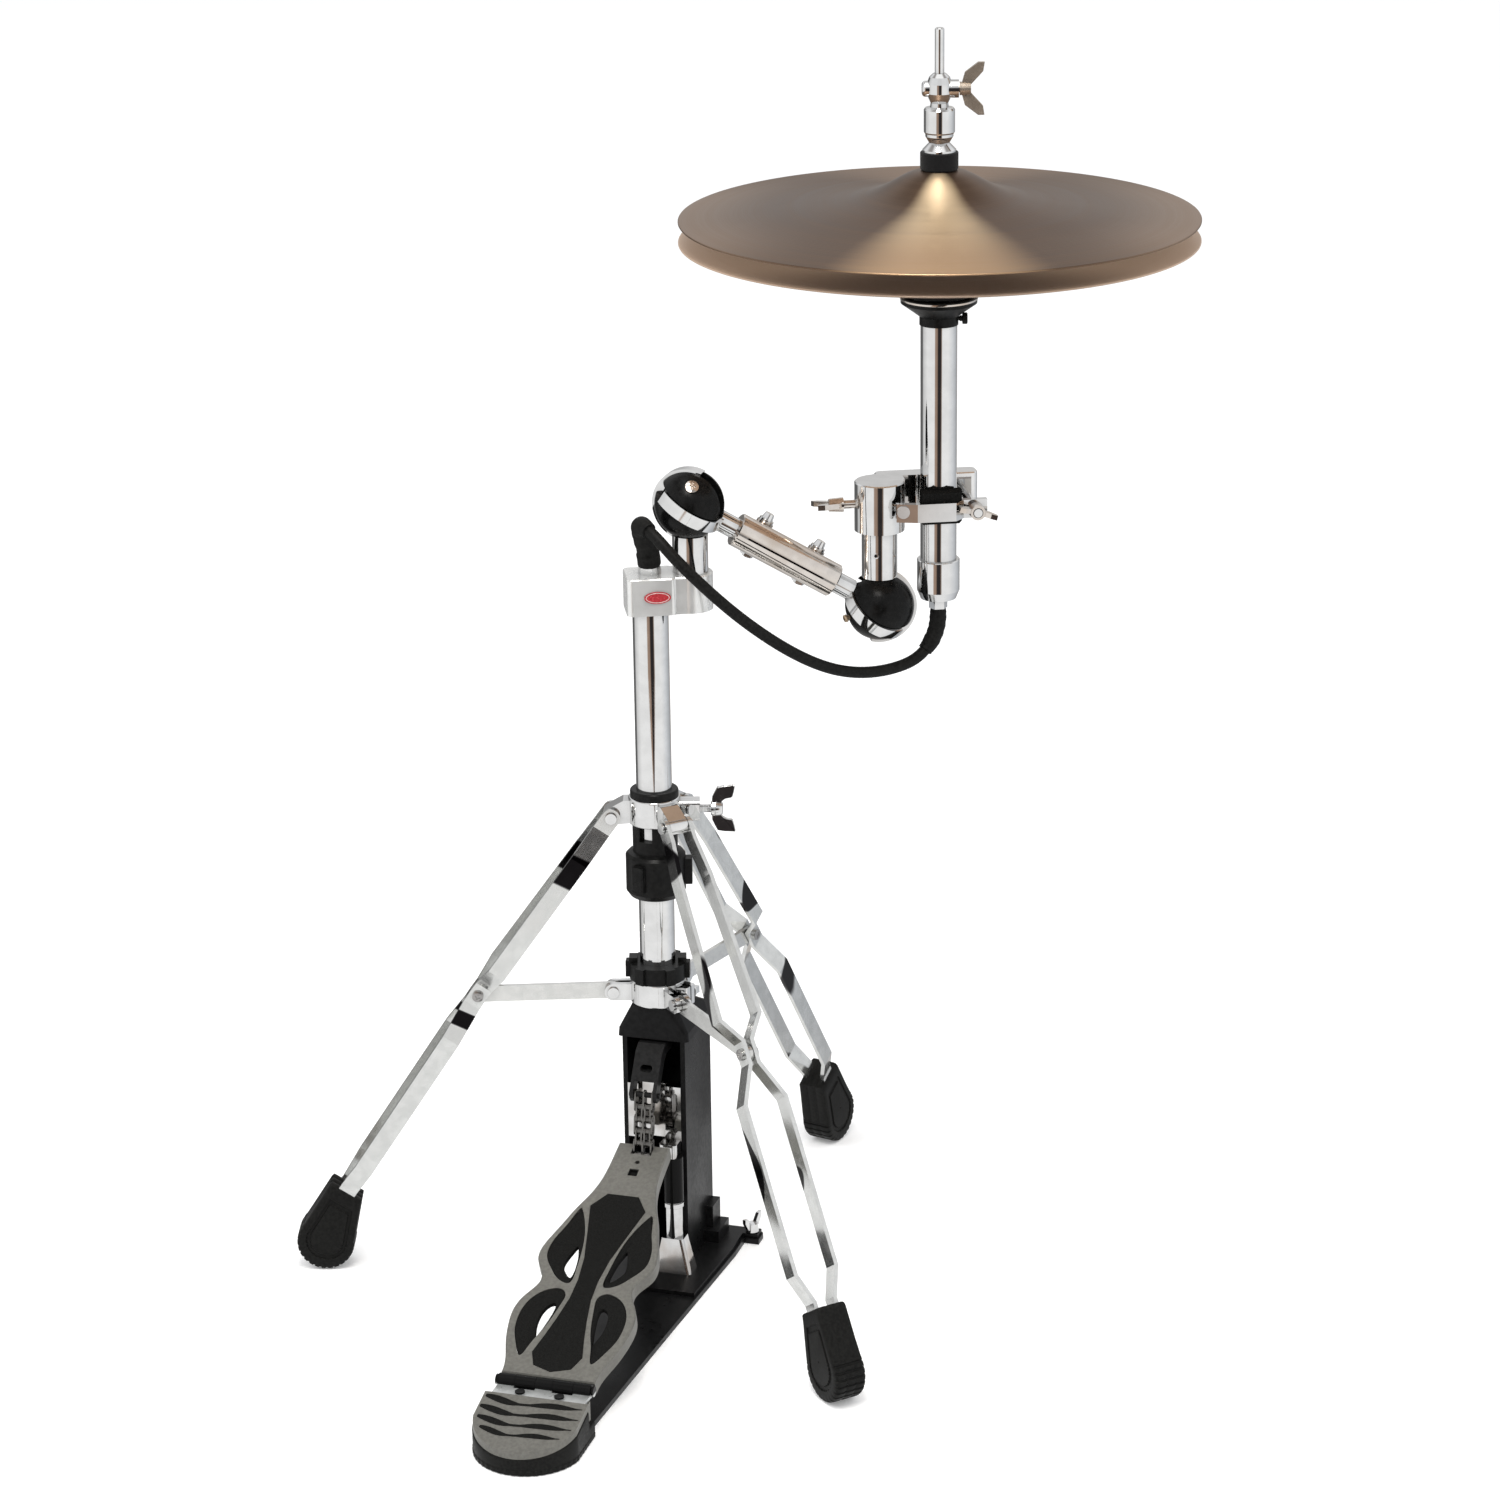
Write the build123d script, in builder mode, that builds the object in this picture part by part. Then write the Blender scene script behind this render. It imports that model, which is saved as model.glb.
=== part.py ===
from build123d import *
import math
import os

# ---------------------------------------------------------------------------
# Cable-operated hi hat.  Millimetres, +Z up.  The origin is on the floor on
# the axis of the main tube.  The heel of the pedal points along -Y, which is
# the front; +X is the right-hand side.  The offset arm leans out to the right
# and carries the upper tube with its cymbals.
# ---------------------------------------------------------------------------

os.makedirs("parts", exist_ok=True)

# main column
TUBE_R = 12.7            # 1 inch tube
TUBE_BORE = 11.1
TUBE_BOTTOM, TUBE_TOP = 184.0, 521.9
FIXED_GAP = 0.02         # radial clearance of a fixed tube or rod
SLIDE_GAP = 0.08         # radial clearance of everything that slides or turns
HEAD_Z0, HEAD_Z1 = 500.0, 526.5
ROD_R = 4.0              # pull rod inside the main tube

# pedal
HINGE_POINT = Vector(0, -261.0, 30.0)
HINGE_PIN_R = 2.5
KNUCKLE_R = 4.6
PEDAL_ANGLE = 19.39      # slope of the footboard, degrees
PEDAL_TOP = 1.5          # footboard face above the hinge plane
TOE_PIN = (230.5, -4.0)  # along and above the footboard plane
CHAIN_TOP = Vector(0, -36.0, 147.5)
CHAIN_PITCHES = 5
PEDAL_PIN_R = 2.0        # pins at both ends of the chain

# tripod: the places are (radius, height) in the plane of a leg
LEG_ANGLES = {"left": 196.3, "right": 316.3, "rear": 76.3}
BOSS_ANGLE = 16.3            # direction of the leg screw and of the tilt screw
CLAMP_ANGLE = 344            # direction of the lower collar's clamp boss
LEG_PIVOT = Vector(30.6, 349.2)      # leg to upper collar
STAY_PIVOT = Vector(32.1, 214.8)     # stay to lower collar
STAY_JOINT = Vector(129.5, 212.6)    # stay to leg
LEG_END = Vector(229.0, 62.0)        # strap end inside the foot
WHEEL_RAD = 21.0
WHEEL_CENTRE = (247.0, WHEEL_RAD)
STRAP_W, STRAP_T = 13.0, 3.0
RIVET_R = 2.5
RIVET_HOLE_R = RIVET_R + 0.02

# offset arm
ARM_ANGLE = 24.1             # direction of the arm seen from above
BALL1_R, BALL1_Z = 28.6, 574.6
BALL2_R, BALL2_Z = 161.3, 494.7
BALL_RAD = 24.3
RING_IN, RING_OUT, RING_W = 19.8, 25.8, 9.0
GROOVE_IN, GROOVE_W = 19.5, 9.8
POST_R = 12.5
RING1_TURN = 25.0            # post ring of the first ball, turned about Z
STUB_R = 7.5
SLEEVE_R, SLEEVE_L = 12.0, 80.0

# upper tube and cymbals
STEM_R = 202.9               # radial place of the cymbal axis
STEM_Z0, STEM_Z1 = 503.0, 694.0
PULL_R = 3.2
CYMBAL_R = 177.8             # 14 inch cymbals
CYMBAL_T = 1.2
TOP_EDGE_Z, BOTTOM_EDGE_Z = 768.6, 753.0

CUT = Mode.SUBTRACT
UP = Vector(0, 0, 1)


# ---------------------------------------------------------------------------
# Directions and planes
# ---------------------------------------------------------------------------
def radial(angle):
    """Horizontal unit vector that points outwards at an angle."""
    return Vector(math.cos(math.radians(angle)), math.sin(math.radians(angle)), 0)


def side(angle):
    """Horizontal unit vector a quarter turn clockwise from radial(angle)."""
    return Vector(math.sin(math.radians(angle)), -math.cos(math.radians(angle)), 0)


def level(z, angle=0, reach=0):
    """Horizontal plane: x outwards at the angle, origin at that reach."""
    return Plane(origin=radial(angle) * reach + UP * z, x_dir=radial(angle), z_dir=UP)


def upright(angle, shift=0):
    """Vertical plane: x outwards at the angle, y up, shifted along side(angle)."""
    return Plane(origin=side(angle) * shift, x_dir=radial(angle), z_dir=side(angle))


def facing(angle, radius, height, centre=Vector(0, 0, 0)):
    """Plane whose normal points outwards at the angle, x up."""
    out = radial(angle)
    return Plane(origin=centre + out * radius + UP * height, x_dir=UP, z_dir=out)


def y_axis(plane):
    return Axis(origin=plane.origin, direction=plane.y_dir)


ARM_DIR = radial(ARM_ANGLE)
FRONT = side(ARM_ANGLE)      # horizontal, square to the arm, towards the front
STEM = ARM_DIR * STEM_R


def stem_level(z):
    return level(z, ARM_ANGLE, STEM_R)


# ---------------------------------------------------------------------------
# Shapes.  Each one makes its own sketch and joins the open part by itself.
# ---------------------------------------------------------------------------
def rod(plane, radius, length, *centres, hole=0, taper=0, mode=Mode.ADD):
    """Round bar on the plane, or a tube when it has a hole radius."""
    with BuildSketch(plane) as circle:
        with Locations(*(centres or [(0, 0)])):
            Circle(radius)
            if hole:
                Circle(hole, mode=CUT)
    extrude(circle.sketch.faces(), amount=length, taper=taper, mode=mode)


def bore(plane, radius, length, *centres):
    rod(plane, radius, length, *centres, mode=CUT)


def block(plane, width, height, length, centre=(0, 0), corner=0, both=False, mode=Mode.ADD):
    """Rectangular bar, with round corners when a corner radius is given."""
    with BuildSketch(plane) as rectangle:
        with Locations(centre):
            if corner:
                RectangleRounded(width, height, corner)
            else:
                Rectangle(width, height)
    extrude(rectangle.sketch.faces(), amount=length, both=both, mode=mode)


def hexagon(plane, radius, length, hole=0):
    with BuildSketch(plane) as outline:
        RegularPolygon(radius, 6)
        if hole:
            Circle(hole, mode=CUT)
    extrude(outline.sketch.faces(), amount=length)


def plate(plane, length, *outlines, both=False, mode=Mode.ADD):
    """Straight-sided outlines, extruded together."""
    with BuildSketch(plane) as sketch:
        for points in outlines:
            with BuildLine():
                Polyline(*points, close=True)
            make_face()
    extrude(sketch.sketch.faces(), amount=length, both=both, mode=mode)


def turned(plane, *outlines):
    """Straight-sided outlines of (radius, height), turned about the y axis of the plane."""
    with BuildSketch(plane) as sketch:
        for points in outlines:
            with BuildLine():
                Polyline(*points, close=True)
            make_face()
    revolve(sketch.sketch.faces(), axis=y_axis(plane))


def ball(plane, radius, mode=Mode.ADD):
    """Sphere: a half disc turned about the y axis of the plane."""
    with BuildSketch(plane) as half:
        with BuildLine():
            CenterArc((0, 0), radius, -90, 180)
            Line((0, radius), (0, -radius))
        make_face()
    revolve(half.sketch.faces(), axis=y_axis(plane), mode=mode)


def flip_x(points):
    return [(-x, y) for x, y in points]


def flip_y(points):
    return [(x, -y) for x, y in points]


def wings(plane, half_thickness, points):
    """A wing and its mirror image about the y axis of the plane."""
    plate(plane, half_thickness, points, flip_x(points), both=True)


def wing_profile(hub_r, base, hub_l, wing_r, rise):
    """Right-hand wing: x from the screw axis, y along it."""
    return [(hub_r * 0.4, base + 0.5), (wing_r * 0.62, base + hub_l * 0.45),
            (wing_r, base + hub_l + rise * 0.55), (wing_r, base + hub_l + rise),
            (wing_r * 0.66, base + hub_l + rise * 0.9), (hub_r * 0.4, base + hub_l - 0.6)]


def spline_band(first, second):
    """Two splines joined by straight ends, for use inside a BuildLine."""
    curve_1 = Spline(*first)
    curve_2 = Spline(*second)
    Line(curve_1 @ 0, curve_2 @ 0)
    Line(curve_1 @ 1, curve_2 @ 1)


def save(builder, name):
    builder.part.label = name
    export_step(builder.part, f"parts/{name}.step")


# ---------------------------------------------------------------------------
# Base
# ---------------------------------------------------------------------------
BASE_T = 4
BASE_STEP_T = 3
BASE_TOP = BASE_T + BASE_STEP_T
BASE_SCREW = (53, 49)        # in the ear at the right rear
BASE_OUTLINE = [(29, -306), (31, -275), (41, -106), (49, 20), (49, 42), (60, 42), (60, 56),
                (-49, 56), (-49, 20), (-41, -106), (-31, -275), (-29, -306)]
BASE_STEP_OUTLINE = [(42, -60), (47, 20), (47, 44), (58.5, 44), (58.5, 54.5), (-47, 54.5),
                     (-47, 20), (-42, -60)]

with BuildPart() as base_plate:
    plate(level(0), BASE_T, BASE_OUTLINE)
    plate(level(BASE_T), BASE_STEP_T, BASE_STEP_OUTLINE)
    bore(level(BASE_TOP), 3.05, -BASE_TOP, BASE_SCREW)
    fillet(base_plate.edges().filter_by(Axis.Z).group_by(Axis.Y)[-1], radius=3)
save(base_plate, "base_plate")

# the heel casting is a thin plate that slopes down towards the heel, on a tall rubber skirt
HEEL_Y, HEEL_Z = -279.0, 30.0        # rear edge of the slope
HEEL_FALL, HEEL_T = 13.1 / 55.0, 5.0
HEEL_FOOT_Z = 12.0
HEEL_FRONT_Y = HEEL_Y - 57           # just past the front of the casting
HEEL_COS = 1 / math.sqrt(1 + HEEL_FALL ** 2)
HEEL_TOP = Plane(origin=(0, HEEL_Y, HEEL_Z), x_dir=(1, 0, 0),
                 z_dir=(0, -HEEL_FALL * HEEL_COS, HEEL_COS))
HEEL_SCREWS = ((-14, -273), (14, -273))


def heel_z(y):
    """Height of the sloping heel face."""
    return HEEL_Z + (y - HEEL_Y) * HEEL_FALL


# underside of the heel casting, (y, z), rear end first
HEEL_UNDERSIDE = [(y, heel_z(y) - HEEL_T) for y in (HEEL_Y - 0.5, HEEL_FRONT_Y)]

with BuildPart() as heel_plate:
    with BuildSketch(level(HEEL_FOOT_Z)):
        with BuildLine():
            Polyline((36.6, -303), (36.6, -279), (-36.6, -279), (-36.6, -303))
            ThreePointArc((-36.6, -303), (0, -333), (36.6, -303))
        make_face()
    extrude(amount=HEEL_Z - HEEL_FOOT_Z)
    # leave only the sloping plate
    plate(Plane.YZ.offset(-40), 80,
          [(HEEL_Y + 2, heel_z(HEEL_Y + 2)), (HEEL_Y + 2, 40), (HEEL_FRONT_Y, 40),
           (HEEL_FRONT_Y, heel_z(HEEL_FRONT_Y))],
          [(HEEL_Y - 0.5, 0), *HEEL_UNDERSIDE, (HEEL_FRONT_Y, 0)],
          mode=CUT)
    block(level(HEEL_FOOT_Z), 68, 12, 14, (0, -273.5))
    bore(level(26), 1.9, -8, *HEEL_SCREWS)
save(heel_plate, "heel_plate")

# grip ribs on the heel casting: y of the rib, half length
HEEL_RIBS = ((-284.5, 30.0), (-293.0, 30.0), (-301.5, 28.0), (-310.0, 23.0))

with BuildPart() as heel_rubber:
    with BuildSketch(Plane.XY):
        with BuildLine():
            Polyline((37.5, -303), (37.5, -268), (-37.5, -268), (-37.5, -303))
            ThreePointArc((-37.5, -303), (0, -334), (37.5, -303))
        make_face()
    extrude(amount=28)
    plate(Plane.YZ.offset(-40), 80,
          [(HEEL_Y - 0.5, HEEL_FOOT_Z), *HEEL_UNDERSIDE, (HEEL_FRONT_Y, 40), (-260, 40),
           (-260, HEEL_FOOT_Z)],
          mode=CUT)
    # opening for the base plate
    plate(level(0), 4.2, [(29.4, -307), (31.6, -267), (-31.6, -267), (-29.4, -307)], mode=CUT)
    # raised wavy grip ribs
    for y, half in HEEL_RIBS:
        v = (y - HEEL_Y) / HEEL_COS
        with BuildSketch(HEEL_TOP):
            with BuildLine():
                spline_band([(-half, v - 1.6), (-half * 0.5, v - 3.5), (0, v - 1.5),
                             (half * 0.5, v + 0.3), (half, v - 0.5)],
                            [(-half, v + 1.6), (-half * 0.5, v - 0.7), (0, v + 1.1),
                             (half * 0.5, v + 2.5), (half, v + 0.5)])
            make_face()
        extrude(amount=1.0)
save(heel_rubber, "heel_rubber")

HINGE = Plane(origin=HINGE_POINT, x_dir=(0, 1, 0), z_dir=(1, 0, 0))  # x = +Y, y = +Z
KNUCKLE_W = 12
KNUCKLES_X = (-27, 0, 27)

with BuildPart() as heel_hinge:
    with BuildSketch(level(26)):
        with Locations((0, -272.6)):
            Rectangle(66, 11)
        with Locations(*[(x, -264) for x in KNUCKLES_X]):
            Rectangle(KNUCKLE_W, 8)
        with Locations(*HEEL_SCREWS):
            Circle(1.95, mode=CUT)
    extrude(amount=2.4)
    for x in KNUCKLES_X:
        rod(HINGE.offset(x - KNUCKLE_W / 2), KNUCKLE_R, KNUCKLE_W)
    bore(HINGE.offset(-34), HINGE_PIN_R + 0.03, 68)
    # hinge pin with a small head at each end
    rod(HINGE.offset(-33.6), HINGE_PIN_R, 67.2)
    rod(HINGE.offset(-35), 3.6, 1.4)
    rod(HINGE.offset(33.6), 3.6, 1.4)
    # two screws through the leaf
    for centre in HEEL_SCREWS:
        rod(level(20), 1.85, 8.6, centre)
        rod(level(28.5), 3.4, 1.5, centre)
save(heel_hinge, "heel_hinge")

FRAME_W, FRAME_D, FRAME_Y = 47, 64, 18       # width, depth, middle of the depth
FRAME_H = 175
FRAME_WALL = 3.5
FRAME_TOP = BASE_TOP + FRAME_H

with BuildPart() as drive_frame:
    block(level(BASE_TOP), FRAME_W, FRAME_D, FRAME_H, (0, FRAME_Y))
    fillet(drive_frame.edges().filter_by(Axis.Z).group_by(Axis.Y)[-1], radius=4)
    # open at the front and at the top
    block(level(11), FRAME_W - 2 * FRAME_WALL, FRAME_D, 180, (0, FRAME_Y - 4), mode=CUT)
    # ear at the right rear
    block(level(BASE_TOP), 12, 26, 9, (29, 36))
    block(level(BASE_TOP), 6, 18, 26, (26, 38))
save(drive_frame, "drive_frame")

with BuildPart() as frame_hood:
    with BuildSketch(level(FRAME_TOP)):
        with Locations((0, 18)):
            RectangleRounded(53, 67, 3)
    with BuildSketch(level(188)):
        with Locations((0, 17.5)):
            RectangleRounded(52, 66, 3)
    with BuildSketch(level(207)):
        with Locations((0, 1)):
            RectangleRounded(33, 35, 8)
    loft(ruled=True)
    bore(level(TUBE_BOTTOM - 0.1), TUBE_R + FIXED_GAP, 30)
    bore(level(FRAME_TOP - 1), ROD_R + 2, 6)
save(frame_hood, "frame_hood")

STRUT = (15.5, -21.5)
with BuildPart() as frame_castings:
    # bridge across the front of the frame, relieved behind the chain
    with BuildSketch(level(104)):
        with Locations((0, -9.5)):
            Rectangle(39.9, 11)
        with Locations((-2, -14)):
            Rectangle(20, 8, mode=CUT)
    extrude(amount=42)
    with BuildSketch(Plane.XZ.offset(15)):
        with Locations((15.5, 132)):
            SlotOverall(18, 4, rotation=90)
        with Locations((15.5, 112)):
            Circle(1.8)
    extrude(amount=-4, mode=CUT)
    block(level(95), 13, 18, 10.5, (13.2, -19), corner=3)
    # strut cylinder and its foot
    rod(level(31), 6.4, 29, STRUT)
    rod(level(56), 7.2, 3, STRUT)
    with BuildSketch(level(BASE_TOP)):
        with Locations((17, -24.5)):
            RectangleRounded(28, 18, 3)
    with BuildSketch(level(32)):
        with Locations(STRUT):
            RectangleRounded(17, 14, 3)
    loft()
    # sleeve between the cylinder and the bridge, a separate solid
    rod(level(60.1), 7.3, 34.8, STRUT)
save(frame_castings, "frame_castings")

with BuildPart() as base_thumb_screw:
    rod(level(1), 3.0, 8, BASE_SCREW)
    rod(level(7.6), 5.0, 6, BASE_SCREW, taper=6)
    wings(Plane(origin=BASE_SCREW, x_dir=(0.3, 0.954, 0), z_dir=(0.954, -0.3, 0)), 1.3,
          wing_profile(5.0, 8.0, 5.0, 10.5, 7.0))
save(base_thumb_screw, "base_thumb_screw")

# ---------------------------------------------------------------------------
# Column
# ---------------------------------------------------------------------------
with BuildPart() as main_tube:
    rod(level(TUBE_BOTTOM), TUBE_R, TUBE_TOP - TUBE_BOTTOM, hole=TUBE_BORE)
save(main_tube, "main_tube")

with BuildPart() as memory_lock:
    turned(Plane.XZ, [(TUBE_R + FIXED_GAP, 289), (18.5, 289), (21.3, 293), (21.3, 319),
                      (19.5, 321), (16.0, 322), (16.0, 343), (TUBE_R + FIXED_GAP, 343)])
    for angle in (256.3, 16.3):
        block(level(297, angle), 7, 9, 19, (22.5, 0), corner=1.2)
    # notch in the upper neck
    block(upright(262, -5), 7.6, 12, 10, (16, 338), mode=CUT)
save(memory_lock, "memory_lock")

TENSION_Z, TENSION_H = 225.4, 12
with BuildPart() as tension_ring:
    rod(level(TENSION_Z), 20.5, TENSION_H, hole=TUBE_R + SLIDE_GAP)
    # six grip lugs around the rim
    with BuildSketch(level(TENSION_Z)):
        with PolarLocations(20.5, 6, start_angle=12):
            Rectangle(5, 7)
        Circle(19, mode=CUT)
    extrude(amount=TENSION_H)
    for angle in (16.3, 196.3):
        block(level(236, angle), 6, 10, 5, (17.5, 0))
save(tension_ring, "tension_ring")

HEAD_SCREW_Z = 514
with BuildPart() as head_block:
    with BuildSketch(level(HEAD_Z0, ARM_ANGLE)):
        RectangleRounded(35, 33, 4)
        with Locations((13, 0)):
            Rectangle(22, 30)
        with Locations((BALL1_R, 0)):
            Circle(15.5)
    extrude(amount=HEAD_Z1 - HEAD_Z0)
    chamfer(head_block.faces().sort_by(Axis.Z)[-1].edges(), length=0.8)
    bore(level(HEAD_Z0 - 1), TUBE_R + FIXED_GAP, TUBE_TOP - HEAD_Z0 + 1.05)
    bore(level(HEAD_Z1 + 1), 5.05, -8)
    bore(level(HEAD_Z0 + 3, ARM_ANGLE, BALL1_R), POST_R + FIXED_GAP, 30)
    # screw seat in the outer end
    bore(facing(ARM_ANGLE, BALL1_R + 18, HEAD_SCREW_Z), 2.05, -8)
save(head_block, "head_block")

with BuildPart() as head_badge:
    with BuildSketch(upright(ARM_ANGLE, 16.5)):
        with Locations((3.5, 513.3)):
            Ellipse(9.3, 4.25)
    extrude(amount=0.9)
save(head_badge, "head_badge")

# cable gland: hex nut and stem, and the set screw in the end of the head block
with BuildPart() as head_fasteners:
    hexagon(level(HEAD_Z1), 8.3, 5)
    rod(level(HEAD_Z1 - 4), 5.0, 4.5)
    with BuildSketch(facing(ARM_ANGLE, BALL1_R + 13, HEAD_SCREW_Z)):
        Circle(2.0)
        RegularPolygon(1.1, 6, mode=CUT)
    extrude(amount=2.2)
save(head_fasteners, "head_fasteners")

# ---------------------------------------------------------------------------
# Drive: rod in the tube, spring, link, chain
# ---------------------------------------------------------------------------
PISTON_Z, PISTON_H = 390, 12
with BuildPart() as lower_rod:
    rod(level(168), ROD_R, PISTON_Z - 168)
    rod(level(PISTON_Z), 10.6, PISTON_H)
    rod(level(PISTON_Z + PISTON_H), 1.2, 90)     # inner cable
save(lower_rod, "lower_rod")

SPRING_Z0, SPRING_Z1, SPRING_TURNS = 232.0, 388.2, 13
SPRING_H = SPRING_Z1 - SPRING_Z0
with BuildPart() as return_spring:
    with BuildLine(level(SPRING_Z0)):
        coil = Helix(pitch=SPRING_H / SPRING_TURNS, height=SPRING_H, radius=8.4)
    with BuildSketch(Plane(origin=coil @ 0, z_dir=coil % 0)):
        Circle(1.3)
    sweep(path=coil, is_frenet=True)
save(return_spring, "return_spring")

LINK_TOP = 180
# side view of the link, (y, z)
LINK_OUTLINE = [(7, LINK_TOP), (-18, LINK_TOP), (-25, 176), (-41, 152), (-41.5, 146.5),
                (-38.5, 142.8), (-34, 142.8), (-31, 146), (-31.5, 150.5), (-20.5, 167.5),
                (-14, 172), (7, 172)]
LINK_PIN = (CHAIN_TOP.Y, CHAIN_TOP.Z)

with BuildPart() as pull_link:
    plate(Plane.YZ, 10, LINK_OUTLINE, both=True)
    rod(level(LINK_TOP), 8, -11)
    bore(level(LINK_TOP + 2), ROD_R + FIXED_GAP, -16)
    # fork around the chain
    block(Plane.XZ.offset(25), 14.6, 18, 25, (0, 149), mode=CUT)
    with BuildSketch(Plane.XZ.offset(14)):
        with Locations((0, 166)):
            SlotOverall(9, 4.4)
    extrude(amount=20, mode=CUT)
    bore(Plane.YZ.offset(-12), PEDAL_PIN_R + 0.02, 24, LINK_PIN)
    rod(Plane.YZ.offset(-11.5), PEDAL_PIN_R, 23, LINK_PIN)
save(pull_link, "pull_link")

BOARD_COS = math.cos(math.radians(PEDAL_ANGLE))
BOARD_SIN = math.sin(math.radians(PEDAL_ANGLE))
BOARD_DIR = Vector(0, BOARD_COS, BOARD_SIN)          # from heel to toe
BOARD_NORMAL = Vector(0, -BOARD_SIN, BOARD_COS)
# across the board: x towards the toe, y square to the board
BOARD_SIDE = Plane(origin=HINGE_POINT, x_dir=BOARD_DIR, z_dir=(1, 0, 0))
TOE_POINT = HINGE_POINT + BOARD_DIR * TOE_PIN[0] + BOARD_NORMAL * TOE_PIN[1]

CHAIN_RUN = TOE_POINT - CHAIN_TOP
CHAIN_L = CHAIN_RUN.length
CHAIN = Plane(origin=CHAIN_TOP, x_dir=CHAIN_RUN, z_dir=(1, 0, 0))    # x = down the chain
CHAIN_PITCH = CHAIN_L / CHAIN_PITCHES
# the two faces of each link plate across the chain
OUTER_PLATES = ((-6.9, -5.8), (-0.55, 0.55), (5.8, 6.9))
INNER_PLATES = ((-5.75, -4.7), (-1.65, -0.6), (0.6, 1.65), (4.7, 5.75))

with BuildPart() as chain:
    for i in range(CHAIN_PITCHES):
        plate_h = 7.2 if i in (0, CHAIN_PITCHES - 1) else 6.4
        for x0, x1 in (INNER_PLATES if i % 2 else OUTER_PLATES):
            with BuildSketch(CHAIN.offset(x0)):
                with Locations(((i + 0.5) * CHAIN_PITCH, 0)):
                    SlotCenterToCenter(CHAIN_PITCH, plate_h)
            extrude(amount=x1 - x0)
    # pins, and a roller in each of the two gaps
    for i in range(1, CHAIN_PITCHES):
        rod(CHAIN.offset(-7.2), 1.6, 14.4, (i * CHAIN_PITCH, 0))
        for x0 in (-4.7, 1.65):
            rod(CHAIN.offset(x0), 2.6, 3.05, (i * CHAIN_PITCH, 0))
    bore(CHAIN.offset(-8), 2.08, 16)
    bore(CHAIN.offset(-8), 2.4, 16, (CHAIN_L, 0))
save(chain, "chain")

# ---------------------------------------------------------------------------
# Footboard.  All outlines are (x across, y up the board).
# ---------------------------------------------------------------------------
BOARD = Plane(origin=HINGE_POINT, x_dir=(1, 0, 0), z_dir=BOARD_NORMAL)
BOARD_H, FLANGE_T = 10, 3.0
INLAY_DEPTH = 1.2
BOARD_EDGE = [(33.5, 6), (35.5, 21), (39, 32), (43, 50), (43.8, 66), (40, 79), (33.6, 95),
              (36.5, 104), (41.5, 113), (42.6, 123), (40, 135), (35.5, 149), (30, 167),
              (24, 183), (20.6, 198), (19.3, 214), (18.8, 236)]
INLAY_EDGE = [(11.5, 183), (20.4, 169.5), (14.6, 144), (9.2, 119), (7.2, 98), (7.6, 80),
              (10.6, 61), (14.2, 43), (18, 27), (13.5, 15.5), (0, 11)]
INLAY_OUTLINE = INLAY_EDGE + flip_x(INLAY_EDGE[-2::-1])
UPPER_OPENING = [(25, 165.5), (19, 152), (15, 138), (12.6, 122), (11.4, 106), (13.5, 93.5),
                 (20, 95.5), (29, 105), (35.8, 116), (37, 126), (34.8, 138), (30.5, 152)]
LOWER_OPENING = [(19, 88), (29, 83), (36, 72), (38.2, 58), (36.6, 45), (31.5, 32),
                 (25.8, 22.5), (21.8, 34), (17.6, 47), (14.2, 61), (12, 74), (12.6, 85)]

with BuildPart() as footboard:
    with BuildSketch(BOARD.offset(PEDAL_TOP)):
        with BuildLine():
            spline_band(BOARD_EDGE, flip_x(BOARD_EDGE))
        make_face()
    extrude(amount=-BOARD_H)
    top_face = footboard.faces().sort_by(Axis((0, 0, 0), BOARD_NORMAL))[-1]
    chamfer(top_face.edges(), length=0.9)
    # hollow underside inside the turned-down flange
    inner_edge = [(x - FLANGE_T, y) for x, y in BOARD_EDGE if y < 215]
    with BuildSketch(BOARD.offset(PEDAL_TOP - BOARD_H)):
        with BuildLine():
            spline_band(inner_edge, flip_x(inner_edge))
        make_face()
    extrude(amount=6, mode=CUT)
    # four through openings, two each side of the middle
    for opening in (UPPER_OPENING, LOWER_OPENING):
        for points in (opening, flip_x(opening)):
            with BuildSketch(BOARD.offset(PEDAL_TOP + 1)):
                with BuildLine():
                    Spline(*points, periodic=True)
                make_face()
            extrude(amount=-14, mode=CUT)
    # recess for the grip inlay
    with BuildSketch(BOARD.offset(PEDAL_TOP)):
        with BuildLine():
            Polyline(*INLAY_OUTLINE, close=True)
        make_face()
        offset(amount=0.12)
    extrude(amount=-INLAY_DEPTH, mode=CUT)
    # toe notch, square hole and screw hole, then the pin hole
    with BuildSketch(BOARD.offset(PEDAL_TOP + 1)):
        with Locations((0, 231.5)):
            Rectangle(15.2, 12)
        with Locations((0, 207)):
            Rectangle(7, 7)
        with Locations((0, 217.5)):
            Circle(1.7)
    extrude(amount=-14, mode=CUT)
    bore(BOARD_SIDE.offset(-14), PEDAL_PIN_R + 0.02, 28, TOE_PIN)
save(footboard, "footboard")

with BuildPart() as footboard_inlay:
    plate(BOARD.offset(PEDAL_TOP - INLAY_DEPTH), 1.5, INLAY_OUTLINE)
save(footboard_inlay, "footboard_inlay")

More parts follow.
